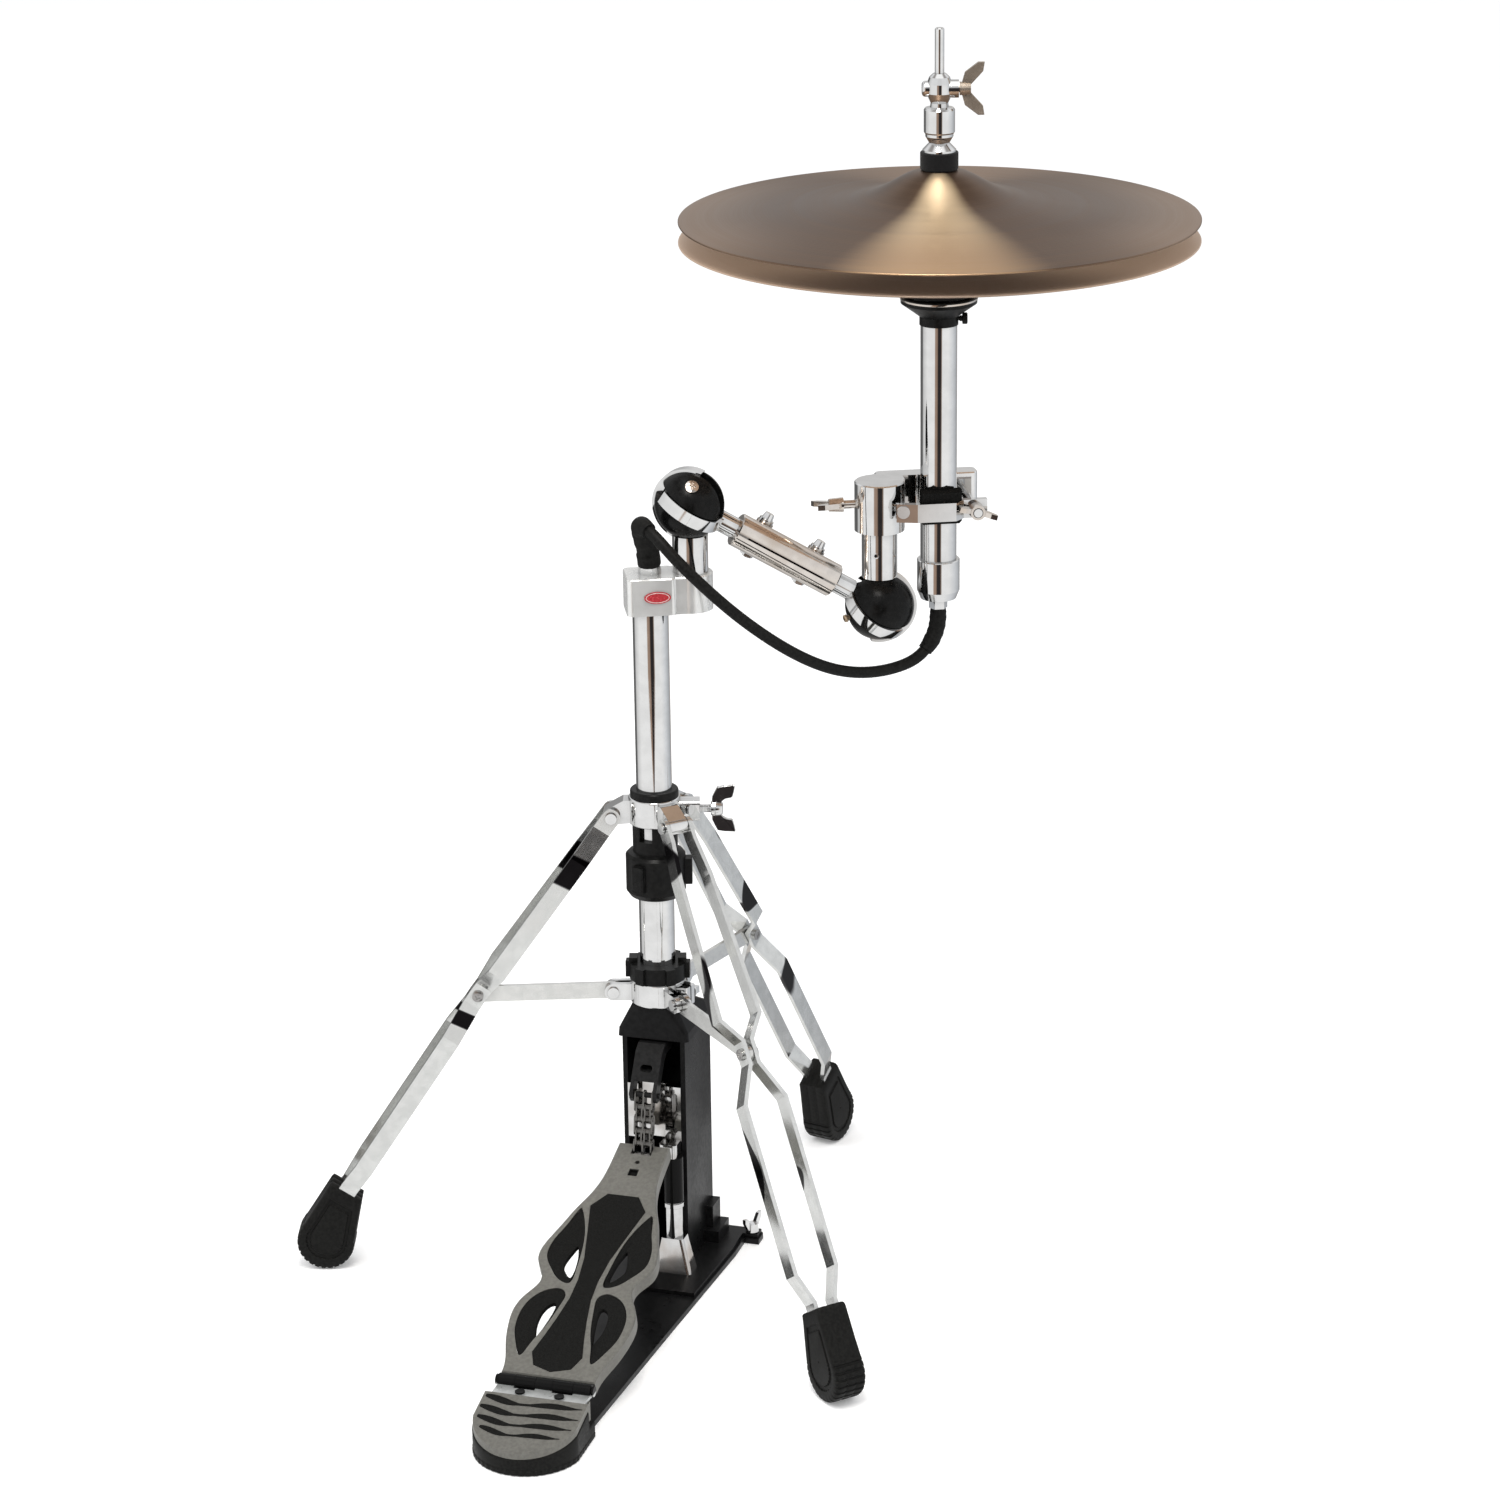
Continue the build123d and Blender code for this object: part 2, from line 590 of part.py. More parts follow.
BOARD_KNUCKLE_W = 14.6
with BuildPart() as footboard_hardware:
    # leaf of the heel hinge under the footboard with its two knuckles
    with BuildSketch(BOARD.offset(PEDAL_TOP - 6.2)):
        with Locations((0, 14)):
            Rectangle(56, 16)
        with Locations((-13.5, 5), (13.5, 5)):
            Rectangle(BOARD_KNUCKLE_W, 6)
    extrude(amount=2.2)
    for x in (-13.5, 13.5):
        rod(HINGE.offset(x - BOARD_KNUCKLE_W / 2), KNUCKLE_R, BOARD_KNUCKLE_W)
    bore(HINGE.offset(-30), HINGE_PIN_R + SLIDE_GAP, 60)
    rod(BOARD_SIDE.offset(-13.5), PEDAL_PIN_R, 27, TOE_PIN)
save(footboard_hardware, "footboard_hardware")

# ---------------------------------------------------------------------------
# Tripod collars
# ---------------------------------------------------------------------------
CLAMP_BOLT = (24, 216)       # radius, height
with BuildPart() as lower_collar:
    rod(level(207.2), 20, 17.8)
    fillet(lower_collar.edges().filter_by(GeomType.CIRCLE), radius=1.2)
    # a slotted lug for each stay
    for angle in LEG_ANGLES.values():
        with BuildSketch(upright(angle)):
            with BuildLine():
                Polyline((14, 208.5), (STAY_PIVOT.X, 208.5), (STAY_PIVOT.X, 221.1),
                         (14, 221.1), close=True)
            make_face()
            with Locations(STAY_PIVOT):
                Circle(6.3)
        extrude(amount=5.6, both=True)
    for angle in LEG_ANGLES.values():
        block(upright(angle), 24, 30, 1.75, STAY_PIVOT, both=True, mode=CUT)
        bore(upright(angle, -8), RIVET_HOLE_R, 16, STAY_PIVOT)
    # split clamp boss
    block(level(209, CLAMP_ANGLE), 14, 12, 14, (21, 0), corner=2)
    block(upright(CLAMP_ANGLE), 10, 20, 0.6, (25, 216), both=True, mode=CUT)
    bore(upright(CLAMP_ANGLE, -9), RIVET_HOLE_R, 18, CLAMP_BOLT)
    bore(level(200), TUBE_R + SLIDE_GAP, 40)
    # rivets of the stays
    for angle in LEG_ANGLES.values():
        rod(upright(angle, -6.4), RIVET_R, 12.8, STAY_PIVOT)
        for shift in (-7.2, 5.7):
            rod(upright(angle, shift), 4.0, 1.5, STAY_PIVOT)
    # square-headed clamp bolt
    rod(upright(CLAMP_ANGLE, -8), RIVET_R, 16, CLAMP_BOLT)
    rod(upright(CLAMP_ANGLE, -6.2), 4.4, -1.6, CLAMP_BOLT)
    block(upright(CLAMP_ANGLE, -7.8), 5.2, 5.2, -5.5, CLAMP_BOLT)
save(lower_collar, "lower_collar")

LUG_HALF = 6.9
LEG_SCREW_Z = 352.5
with BuildPart() as upper_collar:
    rod(level(343.3), 18.5, 19.7)
    fillet(upper_collar.edges().filter_by(GeomType.CIRCLE), radius=1.2)
    for angle in LEG_ANGLES.values():
        with BuildSketch(upright(angle)):
            with BuildLine():
                Polyline((12, 344.5), (LEG_PIVOT.X - 2, 343.4), (LEG_PIVOT.X, 343.0),
                         (LEG_PIVOT.X + 3, 354.6), (22, 361.0), (12, 361.0), close=True)
            make_face()
            with Locations(LEG_PIVOT):
                Circle(6.2)
        extrude(amount=LUG_HALF, both=True)
        bore(upright(angle, -9), RIVET_HOLE_R, 18, LEG_PIVOT)
    # boss of the wing screw
    block(facing(BOSS_ANGLE, 12, LEG_SCREW_Z), 15, 13, 20, corner=2.5)
    bore(facing(BOSS_ANGLE, 11, LEG_SCREW_Z), 3.05, 24)
    bore(level(335), TUBE_R + SLIDE_GAP, 40)
    # rivets of the legs
    for angle in LEG_ANGLES.values():
        rod(upright(angle, -11), RIVET_R, 22, LEG_PIVOT)
        for shift in (-12.2, 10.7):
            rod(upright(angle, shift), 4.0, 1.5, LEG_PIVOT)
save(upper_collar, "upper_collar")

with BuildPart() as collar_bushing:
    rod(level(363.1), 17.2, 5.2, hole=TUBE_R + SLIDE_GAP)
    top_face = collar_bushing.faces().sort_by(Axis.Z)[-1]
    fillet(top_face.edges().sort_by(SortBy.RADIUS)[-1], radius=1.5)
save(collar_bushing, "collar_bushing")

with BuildPart() as leg_wing_screw:
    rod(facing(BOSS_ANGLE, 13.6, LEG_SCREW_Z), 3.0, 27)
    rod(facing(BOSS_ANGLE, 39.5, LEG_SCREW_Z), 5.2, 9, taper=5)
    wings(Plane(origin=UP * LEG_SCREW_Z, x_dir=UP, z_dir=side(BOSS_ANGLE) * -1), 1.9,
          wing_profile(5.2, 40.0, 8.0, 17.5, 8.0))
save(leg_wing_screw, "leg_wing_screw")

# ---------------------------------------------------------------------------
# Legs, stays and feet
# ---------------------------------------------------------------------------
LEG_RUN = LEG_END - LEG_PIVOT
LEG_LEN = LEG_RUN.length
LEG_DIR = LEG_RUN.normalized()
JOINT_U = (STAY_JOINT - LEG_PIVOT).dot(LEG_DIR)      # stay joint along the leg
# inner face of one strap: distance along the leg, distance from the leg plane
STRAP_SPREAD = [(-7, LUG_HALF + 0.3), (12, LUG_HALF + 0.3), (40, 10.5), (JOINT_U - 26, 14.0),
                (JOINT_U - 9, 1.85), (JOINT_U + 9, 1.85), (JOINT_U + 36, 14.5),
                (LEG_LEN - 24, 14.5), (LEG_LEN - 3, 6.5), (LEG_LEN + 14, 6.5)]


def ribbon(points, thickness):
    """Closed outline of a bent strip of constant thickness, to the left of the points."""
    normals = [Vector(y0 - y1, x1 - x0).normalized()
               for (x0, y0), (x1, y1) in zip(points, points[1:])]
    outer = []
    for (x, y), before, after in zip(points, normals[:1] + normals, normals + normals[-1:]):
        mitre = (before + after).normalized()
        shift = mitre * (thickness / mitre.dot(before))
        outer.append((x + shift.X, y + shift.Y))
    return points + outer[::-1]


STRAP = ribbon(STRAP_SPREAD, STRAP_T)
# socket in the foot for the end of one strap, in the same axes
STRAP_POCKET = [(LEG_LEN - 14, 6.4), (LEG_LEN + 16.5, 6.4), (LEG_LEN + 16.5, 9.6),
                (LEG_LEN - 14, 9.6)]

for name, angle in LEG_ANGLES.items():
    out, across = radial(angle), side(angle)
    along = out * LEG_DIR.X + UP * LEG_DIR.Y
    leg_side = upright(angle)
    # plane that holds the leg and the direction across it: x down the leg
    leg_flat = Plane(origin=out * LEG_PIVOT.X + UP * LEG_PIVOT.Y, x_dir=along,
                     z_dir=along.cross(across))

    with BuildPart() as leg:
        plate(leg_flat, 25, STRAP, flip_y(STRAP), both=True)
        # side view: constant width, slightly bent at the stay joint, round ends
        with BuildSketch(leg_side):
            with BuildLine():
                Polyline(LEG_PIVOT, STAY_JOINT, LEG_END, LEG_END + LEG_DIR * 10)
                offset(amount=STRAP_W / 2)
            make_face()
        extrude(amount=30, both=True, mode=Mode.INTERSECT)
        bore(upright(angle, -20), RIVET_R + SLIDE_GAP, 40, LEG_PIVOT)
        # rivet heads of the stay joint, one on each strap
        for shift in (-6.3, 4.85):
            rod(upright(angle, shift), 4.2, 1.45, STAY_JOINT)
    save(leg, f"leg_{name}")

    with BuildPart() as foot:
        rod(upright(angle, -12), WHEEL_RAD, 24, WHEEL_CENTRE)
        # socket block that takes both straps
        socket_origin = out * LEG_END.X + UP * LEG_END.Y + along * 1.5
        block(Plane(origin=socket_origin, x_dir=across, z_dir=along), 23, 27, 30, corner=3)
        # nothing below the floor
        block(leg_side, 900, 80, 30, (0, -40), both=True, mode=CUT)
        plate(leg_flat, 7.2, STRAP_POCKET, flip_y(STRAP_POCKET), both=True, mode=CUT)
    save(foot, f"foot_{name}")

    with BuildPart() as stay:
        with BuildSketch(leg_side):
            with BuildLine():
                Polyline(STAY_PIVOT, STAY_JOINT)
                offset(amount=STRAP_W / 2 - 0.5)
            make_face()
            with Locations(STAY_PIVOT):
                Circle(2.58, mode=CUT)
            with Locations(STAY_JOINT):
                Circle(2.6, mode=CUT)
        extrude(amount=1.5, both=True)
    save(stay, f"stay_{name}")

# ---------------------------------------------------------------------------
# Offset arm with its two ball joints
# ---------------------------------------------------------------------------
BALL1 = ARM_DIR * BALL1_R + UP * BALL1_Z
BALL2 = ARM_DIR * BALL2_R + UP * BALL2_Z
ALONG = (BALL2 - BALL1).normalized()
RISE = FRONT.cross(ALONG).normalized()       # square to the arm, upwards
ARM_MIDDLE = BALL1 + ALONG * ((BALL2 - BALL1).length / 2)


def arm_ring_plane(centre, turn):
    """Plane of a ring on the arm, turned about the arm so that it dips to the front."""
    turn = math.radians(turn)
    normal = RISE * math.cos(turn) + FRONT * math.sin(turn)
    return Plane(origin=centre, x_dir=ALONG, z_dir=normal * -1.0)


POST1_RING = Plane(origin=BALL1, x_dir=radial(ARM_ANGLE - RING1_TURN),
                   z_dir=side(ARM_ANGLE - RING1_TURN))
POST2_RING = Plane(origin=BALL2, x_dir=ARM_DIR, z_dir=FRONT)
ARM1_RING = arm_ring_plane(BALL1, 12)
ARM2_RING = arm_ring_plane(BALL2, 30)


def open_ring(plane, start, end):
    """Ring around a ball, without the part between two angles."""
    steps = max(2, int(abs(end - start) / 30) + 1)
    wedge = [(0, 0)]
    for i in range(steps + 1):
        tip = radial(start + (end - start) * i / steps) * 60
        wedge.append((tip.X, tip.Y))
    with BuildSketch(plane) as ring:
        Circle(RING_OUT)
        Circle(RING_IN, mode=CUT)
        with BuildLine():
            Polyline(*wedge, close=True)
        make_face(mode=CUT)
    extrude(ring.sketch.faces(), amount=RING_W / 2, both=True)


def grooved_ball(post_ring, arm_ring):
    """Ball with round lobes between two crossing grooves."""
    ball(post_ring, BALL_RAD)
    for plane in (post_ring, arm_ring):
        with BuildSketch(plane) as groove:
            Circle(BALL_RAD + 3)
            Circle(GROOVE_IN, mode=CUT)
        extrude(groove.sketch.faces(), amount=GROOVE_W / 2, both=True, mode=CUT)


POST1_Z = HEAD_Z0 + 3.1
with BuildPart() as post_1:
    rod(level(POST1_Z), POST_R, BALL1_Z - POST1_Z - 14, (BALL1.X, BALL1.Y))
    # hollow the top of the shaft to the ball
    ball(POST1_RING, BALL_RAD + 0.5, mode=CUT)
    open_ring(POST1_RING, 66, -62)
save(post_1, "post_1")

# first ball, with its cross-head screw
BALL_SCREW = (FRONT * 0.62 + UP * 0.78).normalized()
with BuildPart() as ball_1:
    grooved_ball(POST1_RING, ARM1_RING)
    bore(Plane(origin=BALL1 + BALL_SCREW * 22.0, z_dir=BALL_SCREW), 3.75, 5)
    rod(Plane(origin=BALL1 + BALL_SCREW * 22.05, z_dir=BALL_SCREW), 3.6, 2.9)
    with BuildSketch(Plane(origin=BALL1 + BALL_SCREW * 24.95, z_dir=BALL_SCREW)):
        Rectangle(4.2, 0.9)
        Rectangle(0.9, 4.2)
    extrude(amount=-1.2, mode=CUT)
save(ball_1, "ball_1")

with BuildPart() as arm_rings:
    # stubs between the rings and the sleeve, hollowed to the balls
    for centre, inwards in ((BALL1, ALONG), (BALL2, ALONG * -1.0)):
        rod(Plane(origin=centre + inwards * 21.0, z_dir=inwards), STUB_R, 26)
        ball(Plane(origin=centre, x_dir=ALONG, z_dir=RISE), BALL_RAD + 0.4, mode=CUT)
    open_ring(ARM1_RING, 152, 348)
    open_ring(ARM2_RING, 192, 402)
save(arm_rings, "arm_rings")

EAR_HALF_H = 12


def ear_plane(end, rise):
    """Plane square to the bolt in one ear of the sleeve (end is -1 or 1)."""
    return Plane(origin=ARM_MIDDLE + ALONG * (end * 21.0) - FRONT * 12.5 + RISE * rise,
                 x_dir=ALONG, z_dir=RISE)


with BuildPart() as arm_sleeve:
    rod(Plane(origin=ARM_MIDDLE - ALONG * (SLEEVE_L / 2), z_dir=ALONG), SLEEVE_R, SLEEVE_L)
    for end in (-1, 1):
        with BuildSketch(ear_plane(end, -EAR_HALF_H)):
            Circle(6)
            Rectangle(12, 3)
        extrude(amount=2 * EAR_HALF_H)
    round_edges = arm_sleeve.edges().filter_by(GeomType.CIRCLE)
    chamfer(round_edges.group_by(SortBy.RADIUS)[-1], length=0.8)
    bore(Plane(origin=ARM_MIDDLE - ALONG * (SLEEVE_L / 2 + 1), z_dir=ALONG),
         STUB_R + 0.03, SLEEVE_L + 2)
    # split line between the two halves
    block(Plane(origin=ARM_MIDDLE, x_dir=ALONG, z_dir=RISE), SLEEVE_L + 4, 60, 0.7,
          both=True, mode=CUT)
    for end in (-1, 1):
        bore(ear_plane(end, -20), 2.55, 40)
save(arm_sleeve, "arm_sleeve")

with BuildPart() as arm_key_bolts:
    for end in (-1, 1):
        rod(ear_plane(end, -16.5), 2.5, 30)
        rod(ear_plane(end, EAR_HALF_H + 0.05), 5.4, 2)
        rod(ear_plane(end, EAR_HALF_H + 2.05), 4.2, 4.5, taper=12)
        hexagon(ear_plane(end, -EAR_HALF_H - 0.05), 5.0, -3.5, hole=2.4)
save(arm_key_bolts, "arm_key_bolts")

with BuildPart() as ball_2:
    grooved_ball(POST2_RING, ARM2_RING)
save(ball_2, "ball_2")

POST2_TOP = 577
with BuildPart() as post_2:
    rod(level(BALL2_Z + 14), POST_R, POST2_TOP - BALL2_Z - 14, (BALL2.X, BALL2.Y))
    ball(POST2_RING, BALL_RAD + 0.5, mode=CUT)
    open_ring(POST2_RING, 98, 255)
save(post_2, "post_2")

# ---------------------------------------------------------------------------
# Multi clamp between the second post and the upper tube.  Local x = outwards
# along the arm, local y = towards the rear, measured from the column axis.
# ---------------------------------------------------------------------------
CLAMP_Z0, CLAMP_Z1 = 550.0, 585.0
SWING_BOLT = (226, 566)              # x outwards, height
JAW_SCREW = (BALL2_R + 13, 568)
WING_BOLT_Z = 569
WING_BOLT_HEAD_R = BALL2_R - 25.5    # reach of the hub face nearest the clamp


def clamp_level(z):
    return level(z, ARM_ANGLE)


def arm_side(shift):
    """Vertical plane along the arm, shifted to the front; its normal points there."""
    return upright(ARM_ANGLE, shift)


with BuildPart() as clamp_body:
    with BuildSketch(clamp_level(CLAMP_Z0)):
        with Locations((BALL2_R, 0)):
            Circle(17.5)
        with Locations((BALL2_R + 8, 9)):
            Rectangle(20, 17)
    extrude(amount=CLAMP_Z1 - CLAMP_Z0)
    block(clamp_level(556), 72, 15, CLAMP_Z1 - 556, (197, 18), corner=5)
    bore(clamp_level(540), TUBE_R + SLIDE_GAP, 60, (STEM_R, 0))
    bore(clamp_level(540), POST_R + SLIDE_GAP, 37.6, (BALL2_R, 0))
    top_face = clamp_body.faces().sort_by(Axis.Z)[-1]
    chamfer(top_face.edges().sort_by(SortBy.LENGTH)[-3:], length=0.8)
    # holes for the inner wing bolt, the swing bolt and the hinge screw of the jaw
    bore(facing(ARM_ANGLE, BALL2_R - 30, WING_BOLT_Z), 3.05, 17.4)
    bore(arm_side(-30), 3.02, 30, SWING_BOLT)
    bore(arm_side(18), 2.55, -12, JAW_SCREW)
save(clamp_body, "clamp_body")

with BuildPart() as clamp_pad:
    with BuildSketch(clamp_level(557.5)):
        with BuildLine():
            Polyline((188.5, -8), (188.5, -21), (214, -21), (217, -14.1), (217, -8), close=True)
        make_face()
        with Locations((STEM_R, 0)):
            Circle(TUBE_R + SLIDE_GAP, mode=CUT)
    extrude(amount=22)
save(clamp_pad, "clamp_pad")

# jaw bar, its hinge screw on the body and the swing bolt at its far end
JAW_OUTLINE = [(BALL2_R + 8.5, -18.2), (186, -21.1), (214.3, -21.1), (217.4, -14), (234, -14),
               (234, -19), (217.4, -19), (211, -26), (184, -26), (BALL2_R + 8.5, -22)]
with BuildPart() as clamp_jaw:
    plate(clamp_level(560.5), 13, JAW_OUTLINE)
    with BuildSketch(arm_side(10)):
        with Locations(SWING_BOLT):
            Circle(3.02)
        with Locations(JAW_SCREW):
            Circle(2.52)
    extrude(amount=20, mode=CUT)
    rod(arm_side(8.4), 2.5, 15, JAW_SCREW)
    rod(arm_side(22.2), 4.4, 2.5, JAW_SCREW)
    rod(arm_side(-28), 5, 2.4, SWING_BOLT)
    rod(arm_side(-26), 3.0, 54, SWING_BOLT)
save(clamp_jaw, "clamp_jaw")

# one wing of the nut: x from the bolt axis, y towards the rear
NUT_WING = [(3.6, -20.5), (9, -22.5), (13.5, -27), (13.5, -30.5), (9, -29.5), (3.6, -26.6)]
with BuildPart() as clamp_wing_nut:
    rod(arm_side(19.1), 5.6, 8.5, SWING_BOLT, hole=3.06, taper=3)
    wings(Plane(origin=ARM_DIR * SWING_BOLT[0] + UP * SWING_BOLT[1],
                x_dir=ARM_DIR * 0.966 - UP * 0.259, z_dir=ARM_DIR * 0.259 + UP * 0.966),
          1.7, NUT_WING)
save(clamp_wing_nut, "clamp_wing_nut")


def facing_inwards(reach):
    """Plane at a reach on the wing bolt axis, normal back towards the column."""
    return facing(ARM_ANGLE + 180, -reach, WING_BOLT_Z)


with BuildPart() as clamp_wing_bolt:
    rod(facing_inwards(BALL2_R - 13.2), 3.0, 13)
    rod(facing_inwards(WING_BOLT_HEAD_R), 5.2, 10, taper=4)
    wings(Plane(origin=UP * WING_BOLT_Z, x_dir=FRONT * 0.985 + UP * 0.17,
                z_dir=UP * 0.985 - FRONT * 0.17),
          1.8,
          [(x, WING_BOLT_HEAD_R - y) for x, y in wing_profile(5.2, 0, 9.0, 17.5, 11.0)])
save(clamp_wing_bolt, "clamp_wing_bolt")

# ---------------------------------------------------------------------------
# Upper tube, ferrule, cymbal seat
# ---------------------------------------------------------------------------
# x = radius from the stem axis, y = height
STEM_XZ = Plane(origin=(STEM.X, STEM.Y, 0), x_dir=(1, 0, 0), z_dir=(0, -1, 0))

with BuildPart() as upper_tube:
    rod(stem_level(STEM_Z0), TUBE_R, STEM_Z1 - STEM_Z0, hole=TUBE_BORE)
save(upper_tube, "upper_tube")

with BuildPart() as ferrule:
    turned(STEM_XZ, [(6.2, 498.5), (12.6, 498.5), (15, 504.5), (15, 526.4), (14.4, 527),
                     (TUBE_R + FIXED_GAP, 527), (TUBE_R + FIXED_GAP, 502.9), (6.2, 502.9)])
    # hollow hex screw in the bottom
    hexagon(stem_level(491), 6.6, 7.4, hole=2.5)
    rod(stem_level(498.4), 6.15, 8, hole=2.5)
save(ferrule, "ferrule")

TILT_SCREW_Z = 698


def tilt_plane(radius):
    return facing(BOSS_ANGLE, radius, TILT_SCREW_Z, STEM)


with BuildPart() as cymbal_seat:
    turned(STEM_XZ, [(5, 694.1), (13.4, 694.1), (13.4, 700), (18, 703.5), (26.3, 709.5),
                     (26.6, 714), (22.5, 714.4), (22.5, 711.5), (6.8, 711.5), (6.8, 715.1),
                     (5, 715.1)])
    # spigot inside the upper tube
    rod(stem_level(684), TUBE_BORE - 0.05, 11, hole=5)
    bore(tilt_plane(0), 1.56, 30)
save(cymbal_seat, "cymbal_seat")

with BuildPart() as tilt_screw:
    rod(tilt_plane(8), 1.5, 9)
    rod(tilt_plane(14.2), 2.0, 2)
    rod(tilt_plane(16), 4.0, 3.6)
    round_edges = tilt_screw.edges().filter_by(GeomType.CIRCLE)
    fillet(round_edges.group_by(SortBy.RADIUS)[-1], radius=0.8)
save(tilt_screw, "tilt_screw")

with BuildPart() as seat_felt:
    turned(STEM_XZ, [(5.4, 715.2), (24.3, 715.6), (24.3, 717), (19.5, 717.4), (19, 719.2),
                     (17, 719.9), (5.4, 719.9)])
save(seat_felt, "seat_felt")

# cymbal profile: radius, drop below the crown of the bell
CYMBAL_DROP = 32.4
CYMBAL_PROFILE = [(6.0, 0.0), (15, 0.5), (22, 2.9), (30, 7.2), (38, 11.6), (46, 15.1),
                  (56, 18.0), (72, 20.6), (100, 23.9), (135, 27.6), (160, 30.3),
                  (CYMBAL_R, CYMBAL_DROP)]

# name, height of the rim, side of the bell (1 = up)
for name, edge_z, bell in (("top_cymbal", TOP_EDGE_Z, 1), ("bottom_cymbal", BOTTOM_EDGE_Z, -1)):
    bell_side = [(r, edge_z + bell * (CYMBAL_DROP - drop)) for r, drop in CYMBAL_PROFILE]
    with BuildPart() as cymbal:
        with BuildSketch(STEM_XZ):
            with BuildLine():
                spline_band(bell_side, [(r, z - bell * CYMBAL_T) for r, z in bell_side])
            make_face()
        revolve(axis=y_axis(STEM_XZ))
    save(cymbal, name)

# ---------------------------------------------------------------------------
# Pull rod and clutch
# ---------------------------------------------------------------------------
with BuildPart() as pull_rod:
    rod(stem_level(555), PULL_R, 342)
    chamfer(pull_rod.faces().sort_by(Axis.Z)[-1].edges(), length=0.8)
    rod(stem_level(512), 1.2, 44)        # inner cable
save(pull_rod, "pull_rod")

CLUTCH_ANGLE = 16.0
CLUTCH_SCREW_Z = 856.0
CLUTCH_BORE = PULL_R + 0.05
CLUTCH_SLEEVE_R = 5.0
NUT_BORE = CLUTCH_SLEEVE_R + 0.06
FELT_BORE = CLUTCH_SLEEVE_R + 0.1


def clutch_plane(radius):
    return facing(CLUTCH_ANGLE, radius, CLUTCH_SCREW_Z, STEM)


with BuildPart() as clutch_body:
    turned(STEM_XZ, [(CLUTCH_BORE, 784), (CLUTCH_SLEEVE_R, 784), (CLUTCH_SLEEVE_R, 826),
                     (10, 826), (10.6, 827), (10.6, 842), (9.8, 843.2), (6.4, 843.8),
                     (6.0, 846.5), (7.4, 849.5), (8.6, 853), (8.6, 859.5), (7.0, 864),
                     (4.4, 866.4), (CLUTCH_BORE, 866.4)])
    # cross boss for the wing screw
    rod(clutch_plane(0), 6.2, 13)
    rod(clutch_plane(0), 5.4, -12)
    round_edges = clutch_body.edges().filter_by(GeomType.CIRCLE)
    fillet(round_edges.sort_by(Axis((STEM.X, STEM.Y, 0), radial(CLUTCH_ANGLE)))[0], radius=2.6)
    bore(stem_level(780), CLUTCH_BORE, 100)
    bore(clutch_plane(0), 2.55, 20)
    # waisted upper nut and hexagonal lower nut, separate solids on the clutch sleeve
    turned(STEM_XZ, [(NUT_BORE, 813.6), (11.5, 813.6), (11.5, 815), (7.0, 819.6), (9.6, 824),
                     (9.6, 825.9), (NUT_BORE, 825.9)])
    hexagon(stem_level(784), 9, 5.5, hole=NUT_BORE)
save(clutch_body, "clutch_body")

with BuildPart() as clutch_felts:
    turned(STEM_XZ,
           [(FELT_BORE, 801.1), (12.4, 801.4), (13.0, 802.4), (13.0, 812.9), (12.4, 813.5),
            (FELT_BORE, 813.5)],
           [(FELT_BORE, 789.6), (12.0, 789.6), (12.6, 790.3), (12.6, 798.4), (11.8, 799.1),
            (FELT_BORE, 799.2)])
save(clutch_felts, "clutch_felts")

with BuildPart() as clutch_wing_screw:
    rod(clutch_plane(4.0), 2.5, 11)
    rod(clutch_plane(13.6), 4.6, 7.5, taper=4)
    wings(Plane(origin=STEM + UP * CLUTCH_SCREW_Z, x_dir=UP, z_dir=side(CLUTCH_ANGLE) * -1), 1.7,
          wing_profile(4.6, 14.0, 6.8, 17.8, 9.5))
save(clutch_wing_screw, "clutch_wing_screw")

# ---------------------------------------------------------------------------
# Cable: bent boot on the gland, housing, and the boot under the ferrule
# ---------------------------------------------------------------------------
# x, y, z; the first and last points only steer the ends of the curve
CABLE_POINTS = [
    (0, 0, 524), (0, 0, 532), (-0.3, -0.9, 539), (-1.4, -5, 549), (-1.4, -11.5, 560),
    (2.5, -21, 566), (13.5, -29.5, 562.5), (27, -33.5, 551), (45, -32.5, 533.5),
    (66, -25, 512), (87, -12, 491), (107, 4, 473), (127, 22, 459.5), (146, 41, 453),
    (162.5, 58, 453), (174.5, 71, 458), (181, 78, 466.5), (184.6, 82.1, 477.5),
    (STEM.X, STEM.Y, 490.6), (STEM.X, STEM.Y, 499)]
cable_curve = Spline(*CABLE_POINTS)
cable_path = cable_curve.trim(cable_curve.param_at_point(Vector(*CABLE_POINTS[1])),
                              cable_curve.param_at_point(Vector(*CABLE_POINTS[-2])))
BOOT_END, HOUSING_END = 0.155, 0.905     # fractions of the path
CABLE_GAP = 0.0008
# name, start and end on the path, radius
CABLE_PIECES = (("cable_boot", 0.0, BOOT_END, 7.4),
                ("cable_housing", BOOT_END + CABLE_GAP, HOUSING_END - CABLE_GAP, 4.0),
                ("cable_end_boot", HOUSING_END, 1.0, 5.8))

for name, start, end, radius in CABLE_PIECES:
    piece = cable_path.trim(start, end)
    with BuildPart() as cable_part:
        with BuildSketch(Plane(origin=piece @ 0, z_dir=piece % 0)):
            Circle(radius)
        sweep(path=piece)
    save(cable_part, name)
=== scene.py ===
"""Hi-hat stand: a chromed tripod with a footboard, and two cymbals on an offset arm.

+Z is up and the floor is z = 0. The main tube stands on the Z axis and the footboard reaches
towards -Y. The arm leads from the tube, 24.1 degrees from +X, to the upright cymbal axis.
Tables and local sizes are in millimetres. Meshes and places in the scene are in metres.
"""
import math
import bmesh
import bpy
import numpy as np
from mathutils import Matrix, Vector


